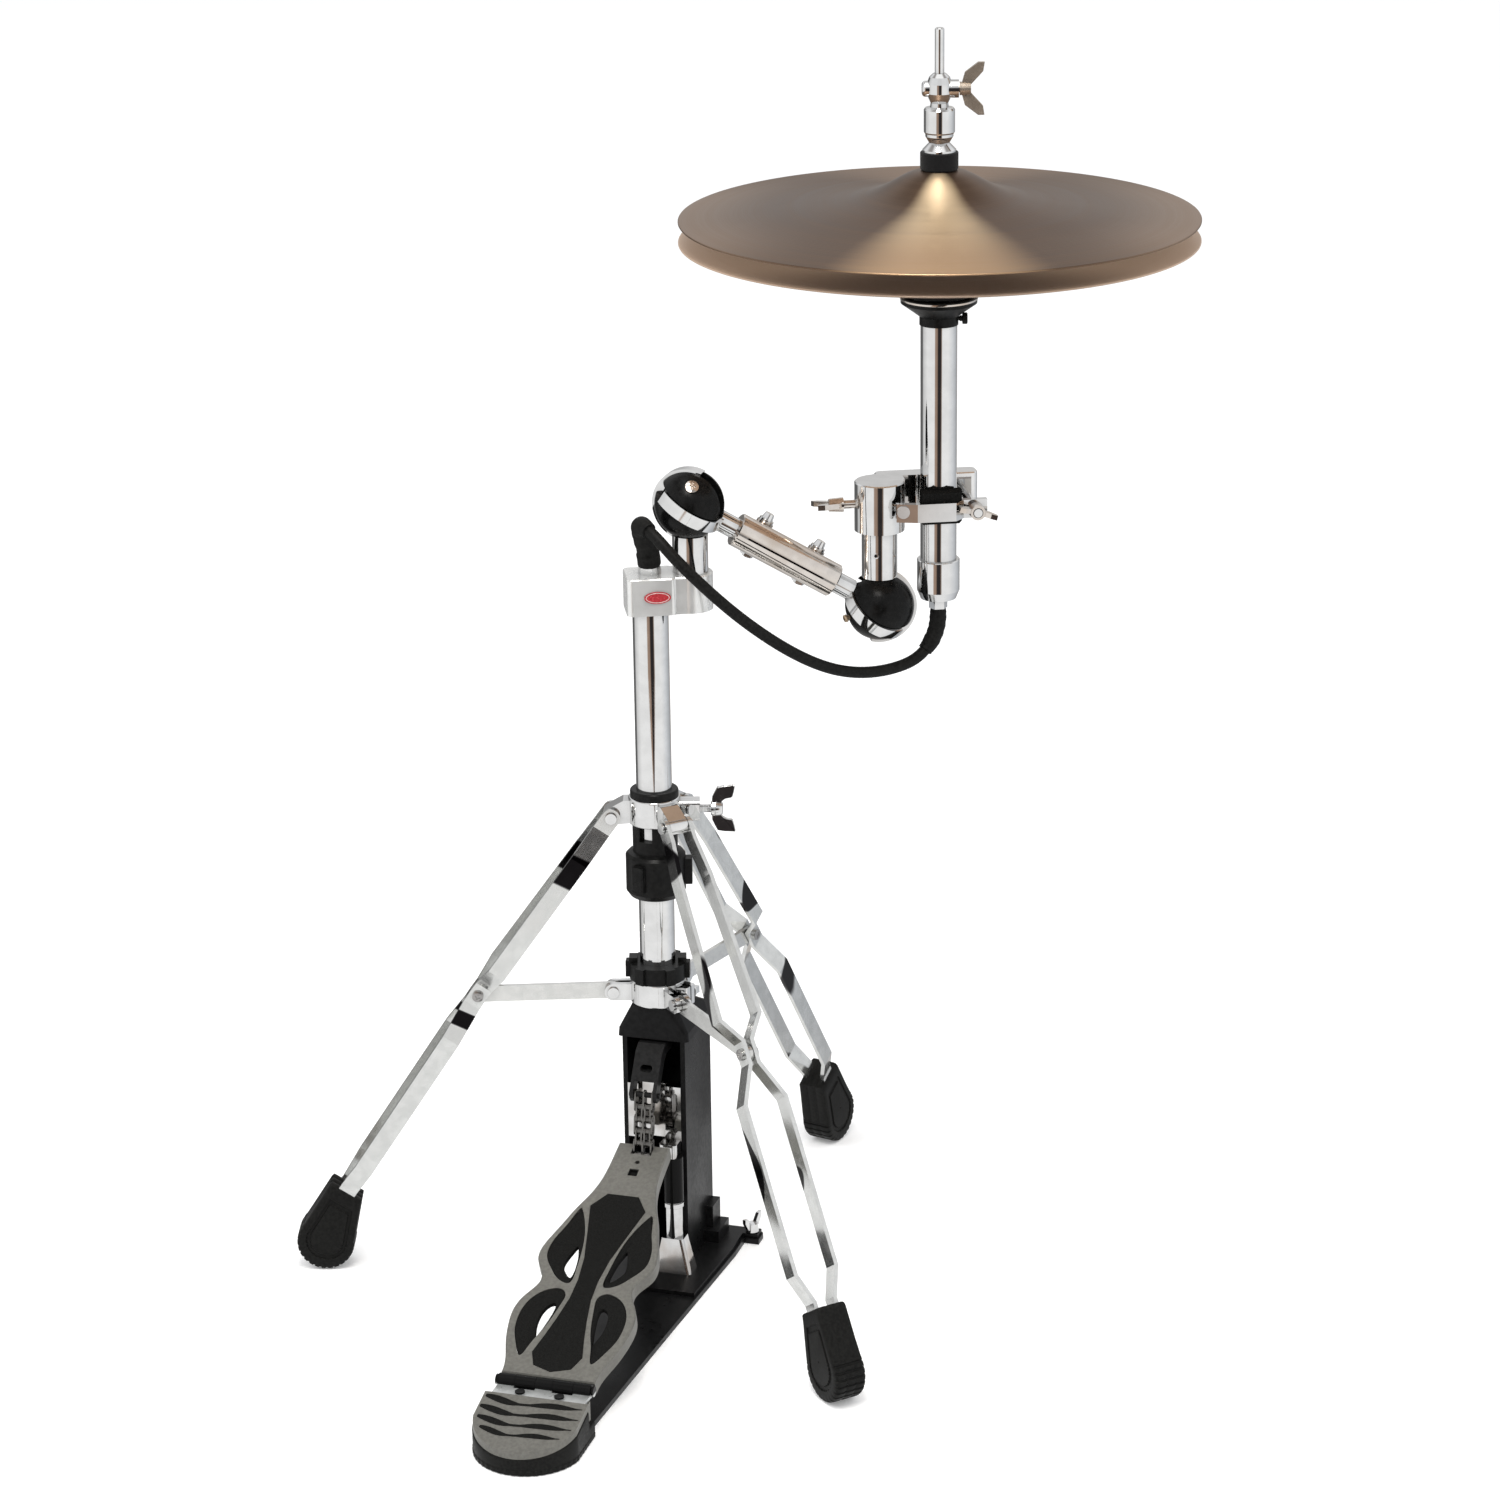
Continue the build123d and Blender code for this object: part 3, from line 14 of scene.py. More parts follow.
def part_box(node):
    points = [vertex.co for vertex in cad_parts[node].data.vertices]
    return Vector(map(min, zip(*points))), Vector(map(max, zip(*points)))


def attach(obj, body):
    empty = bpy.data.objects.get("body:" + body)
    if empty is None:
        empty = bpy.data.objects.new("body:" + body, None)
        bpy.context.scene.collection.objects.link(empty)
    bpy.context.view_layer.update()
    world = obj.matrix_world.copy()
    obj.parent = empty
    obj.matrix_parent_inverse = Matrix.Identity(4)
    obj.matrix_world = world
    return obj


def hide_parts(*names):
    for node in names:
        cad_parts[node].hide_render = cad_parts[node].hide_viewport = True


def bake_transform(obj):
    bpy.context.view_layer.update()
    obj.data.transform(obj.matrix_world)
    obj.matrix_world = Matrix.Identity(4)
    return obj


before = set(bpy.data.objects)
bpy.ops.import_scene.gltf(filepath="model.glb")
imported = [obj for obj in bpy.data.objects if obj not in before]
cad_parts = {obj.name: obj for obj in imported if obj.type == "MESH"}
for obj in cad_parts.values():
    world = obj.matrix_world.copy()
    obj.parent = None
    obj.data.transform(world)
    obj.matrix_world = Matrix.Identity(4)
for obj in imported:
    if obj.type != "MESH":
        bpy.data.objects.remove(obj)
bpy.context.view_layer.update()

DEGREE = math.pi / 180
UP = np.array([0.0, 0.0, 1.0])


def directions(angle):
    """Unit vectors outward from the Z axis at an angle (radians from +X), and to its right."""
    c, s = math.cos(angle), math.sin(angle)
    return np.array([c, s, 0.0]), np.array([s, -c, 0.0])


# ------------------------------------------------------------------ places
ARM_OUT, ARM_SIDE = directions(24.1 * DEGREE)
CYMBAL_X, CYMBAL_Y, _ = (0.2029 * ARM_OUT).tolist()  # upright axis of the cymbals, metres
BALL_1 = (28.6 * ARM_OUT + 574.6 * UP) / 1000
BALL_2 = (161.3 * ARM_OUT + 494.7 * UP) / 1000
ARM_ALONG = (BALL_2 - BALL_1) / np.linalg.norm(BALL_2 - BALL_1)
ARM_ABOVE = np.cross(ARM_SIDE, ARM_ALONG)

REAR_LEG = 76.3  # degrees from +X; the three legs are evenly spaced
LEGS = {"left": REAR_LEG + 120, "right": REAR_LEG + 240, "rear": REAR_LEG}

CAMERA_PLACE = (0.8656, -2.6137, 1.3535)
CAMERA_AXES = (  # right, up and backward
    Vector((0.9580, 0.2867, -0.0125)),
    Vector((-0.0829, 0.3183, 0.9443)),
    Vector((0.2747, -0.9036, 0.3287)),
)
CAMERA_AZIMUTH = math.atan2(CAMERA_PLACE[1], CAMERA_PLACE[0])


# ------------------------------------------------------------------ camera
def link_object(name, data):
    item = bpy.data.objects.new(name, data)
    bpy.context.scene.collection.objects.link(item)
    return item


def build_camera():
    data = bpy.data.cameras.new("camera")
    data.lens = 99.43
    data.sensor_width = 36.0
    data.clip_start = 0.05
    data.clip_end = 200
    camera = link_object("camera", data)
    pose = Matrix(CAMERA_AXES).transposed().to_4x4()
    pose.translation = Vector(CAMERA_PLACE)
    camera.matrix_world = pose
    bpy.context.scene.camera = camera


build_camera()
bpy.context.scene.view_settings.view_transform = "Standard"


# ------------------------------------------------------------------ shader nodes
class Nodes:
    """Short calls that add nodes to one tree. Inputs may be sockets or plain values."""

    def __init__(self, tree):
        self.tree = tree

    def new(self, kind, **settings):
        node = self.tree.nodes.new(kind)
        for key, value in settings.items():
            setattr(node, key, value)
        return node

    def link(self, source, target):
        self.tree.links.new(source, target)

    def put(self, socket, value):
        if isinstance(value, bpy.types.NodeSocket):
            self.link(value, socket)
        else:
            socket.default_value = value

    def calc(self, operation, a, b=0.0, clamp=False):
        node = self.new("ShaderNodeMath", operation=operation, use_clamp=clamp)
        for socket, value in zip(node.inputs, (a, b, 0.0)):
            self.put(socket, value)
        return node.outputs[0]

    def wrap(self, value, high, low):
        node = self.new("ShaderNodeMath", operation="WRAP", use_clamp=False)
        for socket, entry in zip(node.inputs, (value, high, low)):
            self.put(socket, entry)
        return node.outputs[0]

    def length(self, x, y):
        squares = self.calc("ADD", self.calc("MULTIPLY", x, x), self.calc("MULTIPLY", y, y))
        return self.calc("SQRT", squares)

    def smooth(self, value, low, high, start=0.0, end=1.0):
        """Smooth step from start at low to end at high."""
        node = self.new("ShaderNodeMapRange", interpolation_type="SMOOTHSTEP")
        for i, entry in enumerate((value, low, high, start, end)):
            self.put(node.inputs[i], entry)
        return node.outputs[0]

    def mix(self, factor, a, b, mode="MIX"):
        node = self.new("ShaderNodeMix", data_type="RGBA", blend_type=mode)
        for i, entry in ((0, factor), (6, a), (7, b)):
            self.put(node.inputs[i], entry)
        return node.outputs[2]

    def noise(self, vector, scale, detail=3.0, roughness=0.5):
        node = self.new("ShaderNodeTexNoise")
        self.link(vector, node.inputs["Vector"])
        node.inputs["Scale"].default_value = scale
        node.inputs["Detail"].default_value = detail
        node.inputs["Roughness"].default_value = roughness
        return node.outputs["Fac"]

    def angle_ramp(self, turn, stops, clamp=False):
        """Colour by angle. turn is -0.5 to 0.5 of a circle; stops are in degrees."""
        factor = self.calc("ADD", turn, 0.5, clamp=clamp)
        node = self.new("ShaderNodeValToRGB")
        elements = node.color_ramp.elements
        while len(elements) > 1:
            elements.remove(elements[-1])
        positions = [angle / 360 + 0.5 for angle, _ in stops]
        elements[0].position = positions[0]
        for position in positions[1:]:
            elements.new(position)
        for element, (_, colour) in zip(elements, stops):
            element.color = (*colour, 1)
        self.link(factor, node.inputs[0])
        return node.outputs[0]

    def split(self, vector):
        node = self.new("ShaderNodeSeparateXYZ")
        self.link(vector, node.inputs[0])
        return node.outputs

    def object_coordinates(self):
        return self.new("ShaderNodeTexCoord").outputs["Object"]

    def emission(self, colour, strength):
        node = self.new("ShaderNodeEmission")
        self.put(node.inputs[0], colour)
        node.inputs[1].default_value = strength
        return node.outputs[0]

    def bump(self, height, strength, distance):
        node = self.new("ShaderNodeBump")
        node.inputs["Strength"].default_value = strength
        node.inputs["Distance"].default_value = distance
        self.link(height, node.inputs["Height"])
        return node.outputs[0]


def empty_nodes(owner):
    owner.use_nodes = True
    owner.node_tree.nodes.clear()
    return Nodes(owner.node_tree)


# ------------------------------------------------------------------ studio surroundings
def grey(value):
    return (value, value, value)


# Both tables: degrees round from the camera's azimuth, colour there.
SIDE_STOPS = [
    (-180, grey(0.62)), (-168, grey(0.42)), (-150, grey(0.10)), (-128, grey(0.16)),
    (-118, grey(0.70)), (-80, grey(1.0)), (60, grey(1.0)), (92, (0.80, 0.82, 0.85)),
    (125, (0.52, 0.54, 0.57)), (150, (0.30, 0.29, 0.29)), (166, (0.66, 0.62, 0.58)),
    (180, grey(0.62)),
]
GAP_STOPS = [
    (-180, grey(1.0)), (-26, grey(1.0)), (-22, (0.42, 0.30, 0.23)), (-9, (0.36, 0.25, 0.19)),
    (-4, (0.035, 0.03, 0.03)), (13, (0.03, 0.026, 0.026)), (18, (0.30, 0.22, 0.17)),
    (22, grey(1.0)),
]
GAP_START = 0.98  # metres from the Z axis where the gap behind the camera opens
GAP_GROWTH = 2.4  # share of its full width gained per metre
SIDES_FADE_IN = (0.10, 0.50)  # metres from the Z axis over which the side bands appear


def studio(n, x, y, distance):
    """Colour seen in reflections: pale, a dark and brown gap behind the camera, dark sides."""
    azimuth = n.calc("ARCTAN2", y, x)
    relative = n.wrap(n.calc("SUBTRACT", azimuth, CAMERA_AZIMUTH), math.pi, -math.pi)
    sides = n.angle_ramp(n.calc("DIVIDE", relative, 2 * math.pi), SIDE_STOPS)
    beyond = n.calc("SUBTRACT", distance, GAP_START)
    width = n.calc("MAXIMUM", n.calc("MULTIPLY", beyond, GAP_GROWTH, clamp=True), 0.01)
    scaled = n.calc("DIVIDE", relative, width)
    gap = n.angle_ramp(n.calc("DIVIDE", scaled, 2 * math.pi), GAP_STOPS, clamp=True)
    sides = n.mix(n.smooth(distance, *SIDES_FADE_IN), (1, 1, 1, 1), sides)
    return n.mix(1.0, sides, gap, "MULTIPLY")


# Upward part of the view direction where each shade starts and is complete, and the shade.
SKY_BANDS = [
    (0.12, 0.55, (0.93, 0.935, 0.95)),
    (0.62, 0.80, (0.42, 0.40, 0.39)),
    (0.86, 0.95, grey(1.25)),
]
SKY_DISTANCE = 4.0  # metres; far enough for the gap to have its full width


def build_world():
    world = bpy.data.worlds.new("studio")
    bpy.context.scene.world = world
    n = empty_nodes(world)
    x, y, z = n.split(n.new("ShaderNodeTexCoord").outputs["Generated"])
    colour = studio(n, x, y, SKY_DISTANCE)
    for low, high, shade in SKY_BANDS:
        colour = n.mix(n.smooth(z, low, high), colour, (*shade, 1))
    # Only reflections see the studio: diffuse rays get an even pale, the camera a white.
    rays = n.new("ShaderNodeLightPath").outputs
    colour = n.mix(rays["Is Glossy Ray"], (0.96, 0.965, 0.975, 1), colour)
    colour = n.mix(rays["Is Camera Ray"], colour, (1.13, 1.13, 1.13, 1))
    background = n.new("ShaderNodeBackground")
    n.link(colour, background.inputs[0])
    background.inputs[1].default_value = 0.92
    n.link(background.outputs[0], n.new("ShaderNodeOutputWorld").inputs[0])


def floor_material():
    """Pale diffuse floor with a faint glow; reflections see the studio colours instead."""
    material = bpy.data.materials.new("floor_pale")
    n = empty_nodes(material)
    x, y, _ = n.split(n.new("ShaderNodeNewGeometry").outputs["Position"])
    mirrored = n.emission(studio(n, x, y, n.length(x, y)), strength=0.95)
    diffuse = n.new("ShaderNodeBsdfDiffuse")
    diffuse.inputs[0].default_value = (0.93, 0.93, 0.93, 1)
    glow = n.emission((1, 1, 1, 1), strength=0.16)
    seen = n.new("ShaderNodeAddShader")
    n.link(diffuse.outputs[0], seen.inputs[0])
    n.link(glow, seen.inputs[1])
    choice = n.new("ShaderNodeMixShader")
    n.link(n.new("ShaderNodeLightPath").outputs["Is Glossy Ray"], choice.inputs[0])
    n.link(seen.outputs[0], choice.inputs[1])
    n.link(mirrored, choice.inputs[2])
    n.link(choice.outputs[0], n.new("ShaderNodeOutputMaterial").inputs[0])
    return material


def build_floor():
    half, z = 60.0, -0.0003  # metres; a hair below zero keeps it clear of the feet
    corners = [(-half, -half, z), (half, -half, z), (half, half, z), (-half, half, z)]
    mesh = bpy.data.meshes.new("floor")
    mesh.from_pydata(corners, [], [(0, 1, 2, 3)])
    floor = link_object("floor", mesh)
    mesh.materials.append(floor_material())


def softbox(name, azimuth, elevation, distance, size, size_y, watts, color=(1, 1, 1),
            glossy=False):
    """Rectangular light aimed at the middle of the stand. Metres and radians."""
    data = bpy.data.lights.new(name, "AREA")
    data.shape = "RECTANGLE"
    data.size = size
    data.size_y = size_y
    data.energy = watts
    data.color = color
    light = link_object(name, data)
    target = Vector((0.08, 0.0, 0.42))
    flat = math.cos(elevation)
    place = target + distance * Vector(
        (math.cos(azimuth) * flat, math.sin(azimuth) * flat, math.sin(elevation)))
    light.location = place
    light.rotation_euler = (target - place).to_track_quat("-Z", "Y").to_euler()
    light.visible_glossy = glossy


build_world()
build_floor()
softbox("key", azimuth=CAMERA_AZIMUTH - 0.16, elevation=66 * DEGREE, distance=2.4,
        size=0.75, size_y=1.3, watts=34, color=(1.0, 0.97, 0.93), glossy=True)
softbox("left", azimuth=CAMERA_AZIMUTH - 1.35, elevation=38 * DEGREE, distance=2.6,
        size=1.5, size_y=1.5, watts=18)
softbox("right", azimuth=CAMERA_AZIMUTH + 1.3, elevation=34 * DEGREE, distance=2.8,
        size=1.4, size_y=1.4, watts=12)


# ------------------------------------------------------------------ plain materials
def surface(name, base, metallic, rough, rough_spread, grain, colour_spread, bump=0.0,
            bump_scale=1500.0, coat=0.0, sheen=0.0, tint=None, spec=0.5, grime=0.0):
    """Principled surface with grained colour and roughness.

    tint is a second colour in broad patches; the last argument sets the strength of painted
    shade that darkens the corners.
    """
    material = bpy.data.materials.new(name)
    material.use_nodes = True
    n = Nodes(material.node_tree)
    shader = material.node_tree.nodes["Principled BSDF"]
    coordinates = n.object_coordinates()
    fine = n.noise(coordinates, grain, detail=4.0, roughness=0.55)
    broad = n.noise(coordinates, 28.0)
    dark = tuple(c * (1 - colour_spread) for c in base) + (1,)
    light = tuple(min(1, c * (1 + colour_spread)) for c in base) + (1,)
    colour = n.mix(n.smooth(fine, 0.3, 0.7), dark, light)
    if tint:
        colour = n.mix(n.smooth(broad, 0.42, 0.72), colour, (*tint, 1))
    if grime:
        # Painted shade: the colour darkens towards near black where ambient occlusion finds
        # corners and gaps between parts.
        occlusion = n.new("ShaderNodeAmbientOcclusion")
        occlusion.inputs["Distance"].default_value = 0.006
        occlusion.samples = 6
        hidden = n.calc("SUBTRACT", 1.0, occlusion.outputs["AO"])
        corner_shade_mask = n.calc("MULTIPLY", hidden, grime, clamp=True)
        colour = n.mix(corner_shade_mask, colour, (0.02, 0.018, 0.016, 1))
    n.link(colour, shader.inputs["Base Color"])
    both = n.calc("ADD", n.calc("MULTIPLY", fine, 0.5), n.calc("MULTIPLY", broad, 0.5))
    roughness = n.smooth(both, 0.35, 0.65, start=max(rough - rough_spread, 0.01),
                         end=rough + rough_spread)
    n.link(roughness, shader.inputs["Roughness"])
    for socket, value in (("Metallic", metallic), ("Coat Weight", coat),
                          ("Coat Roughness", 0.12), ("Sheen Weight", sheen),
                          ("Specular IOR Level", spec)):
        shader.inputs[socket].default_value = value
    if bump:
        height = n.noise(coordinates, bump_scale, detail=5.0, roughness=0.6)
        n.link(n.bump(height, strength=bump, distance=0.00015), shader.inputs["Normal"])
    return material


# Base colour, metallic, roughness, its spread, grain scale, colour spread, then the extras.
STRAP_FINISH = ((0.72, 0.725, 0.71), 0.92, 0.14, 0.05, 110, 0.06, dict(grime=0.45))
ZINC_FINISH = ((0.40, 0.39, 0.38), 0.95, 0.22, 0.06, 160, 0.12, dict(grime=0.9))
SURFACES = {
    "chrome": ((0.78, 0.78, 0.775), 1.0, 0.055, 0.025, 90, 0.05, dict(grime=0.5)),
    "chrome_warm": ((0.74, 0.69, 0.64), 1.0, 0.10, 0.04, 120, 0.07,
                    dict(grime=0.5, tint=(0.62, 0.53, 0.45))),
    "chrome_satin": ((0.74, 0.745, 0.735), 0.6, 0.24, 0.05, 60, 0.03, dict(grime=0.3)),
    "strap_chrome": STRAP_FINISH,
    "hinge_plate": ((0.50, 0.515, 0.51), 0.55, 0.32, 0.06, 160, 0.07, dict(grime=0.35)),
    "chain_steel": ((0.17, 0.165, 0.155), 0.95, 0.20, 0.06, 260, 0.2, dict(grime=0.9)),
    "stay_chrome": ((0.74, 0.74, 0.72), 0.92, 0.14, 0.05, 110, 0.06, dict(grime=0.45)),
    "castings_chrome": ((0.70, 0.70, 0.695), 1.0, 0.07, 0.03, 120, 0.08,
                        dict(grime=0.7, tint=(0.45, 0.40, 0.36))),
    "board_steel": ZINC_FINISH,
    "strap_chrome_left": STRAP_FINISH,
    "black_steel": ((0.0060, 0.0060, 0.0062), 0.0, 0.34, 0.07, 300, 0.35,
                    dict(bump=0.05, bump_scale=2200, spec=0.12)),
    "link_steel": ((0.010, 0.010, 0.010), 0.15, 0.34, 0.08, 400, 0.3,
                   dict(bump=0.04, spec=0.2)),
    "zinc_steel": ZINC_FINISH,
    "cast_grey": ((0.150, 0.147, 0.132), 0.35, 0.40, 0.07, 420, 0.13,
                  dict(bump=0.05, bump_scale=2600, grime=0.6, spec=0.35)),
    "rubber": ((0.0072, 0.0072, 0.0066), 0.0, 0.50, 0.10, 500, 0.4,
               dict(bump=0.12, bump_scale=3200, spec=0.12)),
    "grip": ((0.0115, 0.0115, 0.0110), 0.0, 0.70, 0.1, 1500, 0.40,
             dict(bump=0.25, bump_scale=4200, spec=0.0)),
    "black_plastic": ((0.0062, 0.0062, 0.0060), 0.0, 0.34, 0.07, 300, 0.35,
                      dict(bump=0.05, bump_scale=2400, spec=0.13)),
    "ball_plastic": ((0.0048, 0.0048, 0.0047), 0.0, 0.26, 0.06, 300, 0.35,
                     dict(bump=0.03, bump_scale=2400, spec=0.13)),
    "badge_red": ((0.40, 0.022, 0.03), 0.0, 0.28, 0.05, 900, 0.2, dict(coat=0.8)),
    "felt": ((0.010, 0.010, 0.0105), 0.0, 0.95, 0.03, 2600, 0.5,
             dict(bump=0.8, bump_scale=5200, sheen=0.1, spec=0.1)),
    # Painted reflection: the clutch wing screw's chrome is tinted brown, standing in for the
    # bronze it reflects.
    "chrome_painted_bronze_reflection": ((0.56, 0.47, 0.38), 0.75, 0.24, 0.06, 90, 0.12,
                     dict(grime=0.5, tint=(0.70, 0.64, 0.57))),
    "brass_screw": ((0.60, 0.45, 0.30), 0.9, 0.25, 0.06, 200, 0.1, dict(grime=0.6)),
    "badge_rim": ((0.74, 0.62, 0.60), 0.3, 0.3, 0.05, 400, 0.06, {}),
}
MATERIALS = {name: surface(name, *row[:-1], **row[-1]) for name, row in SURFACES.items()}


# ------------------------------------------------------------------ black areas on metal
def blacken(name, make_mask, colour, spec, spec_drop, matte=False):
    """Repaints a material where the mask is 1, and lowers its shine there."""
    material = MATERIALS[name]
    n = Nodes(material.node_tree)
    inputs = material.node_tree.nodes["Principled BSDF"].inputs
    plain = inputs["Base Color"].links[0].from_socket
    mask = make_mask(n, n.object_coordinates())
    n.link(n.mix(mask, plain, (*colour, 1)), inputs["Base Color"])
    if matte:
        metallic = inputs["Metallic"].default_value
        change = n.calc("MULTIPLY", mask, -metallic)
        n.link(n.calc("ADD", metallic, change), inputs["Metallic"])
    shine = n.calc("SUBTRACT", spec, n.calc("MULTIPLY", mask, spec_drop))
    n.link(shine, inputs["Specular IOR Level"])


def painted_reflection_bands(n, coordinates):
    """Two hard-edged bands of painted reflection across the left leg, by height plus a share of
    x.
    """
    x, _, z = n.split(coordinates)
    slant = n.calc("ADD", z, n.calc("MULTIPLY", x, 0.55))
    # lower edge start and end, upper edge end and start, metres
    bands = [
        n.calc("MULTIPLY", n.smooth(slant, *lower), n.smooth(slant, *upper))
        for lower, upper in (((0.2655, 0.2675), (0.2960, 0.2940)),
                             ((0.1180, 0.1190), (0.1300, 0.1290)))
    ]
    return n.calc("MAXIMUM", *bands)


# Painted reflection: random hard-edged black patches on the right and rear straps.
def painted_reflection_blotches(n, coordinates):
    return n.smooth(n.noise(coordinates, 15.0, detail=1.0, roughness=0.4), 0.605, 0.620)


# Material, coordinate axis, and the range along it in metres that is black.
BLACK_RANGES = [
    ("castings_chrome", 2, 0.06004, 0.09496),
    ("hinge_plate", 2, 0.02885, 0.2),
    ("board_steel", 1, -1.0, -0.2430),
]
for name, axis, low, high in BLACK_RANGES:
    def within(n, coordinates):
        place = n.split(coordinates)[axis]
        above = n.calc("GREATER_THAN", place, low)
        return n.calc("MULTIPLY", above, n.calc("LESS_THAN", place, high))

    blacken(name, within, colour=grey(0.006), spec=0.5, spec_drop=0.42, matte=True)
# The polished straps get hard-edged black patches painted in, as painted reflections of the
# black parts around them.
for name, make_mask in (("strap_chrome", painted_reflection_blotches), ("strap_chrome_left", painted_reflection_bands)):
    blacken(name, make_mask, colour=(0.008, 0.007, 0.008), spec=1.0, spec_drop=0.6)


# ------------------------------------------------------------------ bronze
def bronze(name, dark, light, rough, painted_fan_rim, painted_fan_bell, metallic=1.0, glow=None):
    """Lathed bronze with painted light. The painted fan colours are those of the bright
    highlight fan painted at the rim and the bell.
    """
    material = bpy.data.materials.new(name)
    material.use_nodes = True
    n = Nodes(material.node_tree)
    shader = material.node_tree.nodes["Principled BSDF"]
    coordinates = n.object_coordinates()
    x, y, _ = n.split(coordinates)
    dx = n.calc("SUBTRACT", x, CYMBAL_X)
    dy = n.calc("SUBTRACT", y, CYMBAL_Y)
    radius = n.length(dx, dy)

    # Grooves depend on the radius only; stains and specks wander over the whole surface.
    by_radius = n.new("ShaderNodeCombineXYZ")
    n.link(radius, by_radius.inputs[0])
    rings = n.noise(by_radius.outputs[0], 1500.0, detail=6.0, roughness=0.7)
    broad = n.noise(by_radius.outputs[0], 110.0, roughness=0.55)
    stain = n.noise(coordinates, 11.0, detail=4.0, roughness=0.55)
    speck = n.noise(coordinates, 900.0, roughness=0.6)
    grooves = n.calc("ADD", n.calc("MULTIPLY", rings, 0.55), n.calc("MULTIPLY", broad, 0.45))
    colour = n.mix(n.smooth(grooves, 0.32, 0.68, end=0.26), (*dark, 1), (*light, 1))
    stained = (dark[0] * 0.95, dark[1] * 0.82, dark[2] * 0.72, 1)
    colour = n.mix(n.smooth(stain, 0.45, 0.75, end=0.35), colour, stained)
    speckled = (dark[0] * 0.5, dark[1] * 0.45, dark[2] * 0.4, 1)
    colour = n.mix(n.smooth(speck, 0.66, 0.8, end=0.25), colour, speckled)

    # Lathed metal shows a bright fan towards the viewer and stays brown to either side; here
    # that fan is a painted highlight that follows the view direction.
    view_x, view_y, _ = n.split(n.new("ShaderNodeNewGeometry").outputs["Incoming"])
    view_length = n.length(view_x, view_y)
    dot = n.calc("ADD", n.calc("MULTIPLY", dx, view_x), n.calc("MULTIPLY", dy, view_y))
    lengths = n.calc("ADD", n.calc("MULTIPLY", radius, view_length), 1e-5)
    facing = n.calc("DIVIDE", dot, lengths)  # 1 on the viewer's side, -1 on the far side
    ragged = n.calc("MULTIPLY", n.calc("SUBTRACT", grooves, 0.5), 0.03)
    painted_fan = n.smooth(n.calc("ADD", facing, ragged), 0.880, 0.997)
    bell = n.smooth(radius, 0.045, 0.16, start=1.0, end=0.0)
    painted_fan_colour = n.mix(bell, (*painted_fan_rim, 1), (*painted_fan_bell, 1))
    # Painted highlight: the rim is lighter to either side of the viewer.
    to_the_side = n.smooth(n.calc("ABSOLUTE", facing), 0.95, 0.30)
    painted_rim_sheen = n.calc("MULTIPLY", n.smooth(radius, 0.105, 0.178), to_the_side)
    colour = n.mix(n.calc("MULTIPLY", painted_rim_sheen, 0.75), colour, (*light, 1))
    colour = n.mix(painted_fan, colour, painted_fan_colour)
    # Painted highlight: a lighter patch on the side away from the viewer.
    painted_far_sheen = n.smooth(facing, -0.80, -0.99)
    colour = n.mix(n.calc("MULTIPLY", painted_far_sheen, 0.35), colour, (*light, 1))
    n.link(colour, shader.inputs["Base Color"])

    shader.inputs["Metallic"].default_value = metallic
    roughness = n.smooth(grooves, 0.3, 0.7, start=rough - 0.05, end=rough + 0.06)
    n.link(roughness, shader.inputs["Roughness"])
    shader.inputs["Anisotropic"].default_value = 0.62
    # Painted glow: emission standing in for light bounced between the cymbals, dimmed on the
    # side that faces the viewer.
    if glow:
        dimming = n.calc("MULTIPLY", n.smooth(facing, 0.45, 0.98), 0.85)
        n.link(n.mix(dimming, (*glow, 1), (0.012, 0.008, 0.006, 1)),
               shader.inputs["Emission Color"])
        shader.inputs["Emission Strength"].default_value = 1.0

    # The grooves run round the axis, so highlights stretch along the radius.
    radial = n.new("ShaderNodeCombineXYZ")
    n.link(dx, radial.inputs[0])
    n.link(dy, radial.inputs[1])
    unit = n.new("ShaderNodeVectorMath", operation="NORMALIZE")
    n.link(radial.outputs[0], unit.inputs[0])
    n.link(unit.outputs[0], shader.inputs["Tangent"])
    n.link(n.bump(rings, strength=0.12, distance=0.0003), shader.inputs["Normal"])
    return material


MATERIALS["bronze"] = bronze(
    "bronze", dark=(0.118, 0.074, 0.048), light=(0.410, 0.285, 0.200), rough=0.40,
    painted_fan_rim=(0.50, 0.335, 0.200), painted_fan_bell=(0.70, 0.54, 0.35))
# The bottom cymbal gets a lighter, less metallic copy of the bronze with a painted glow,
# standing in for light bounced into the shade under the top cymbal.
MATERIALS["bronze_low"] = bronze(
    "bronze_low", dark=(0.27, 0.19, 0.135), light=(0.40, 0.31, 0.245), rough=0.45,
    painted_fan_rim=(0.24, 0.175, 0.13), painted_fan_bell=(0.24, 0.175, 0.13), metallic=0.35,
    glow=(0.165, 0.112, 0.075))

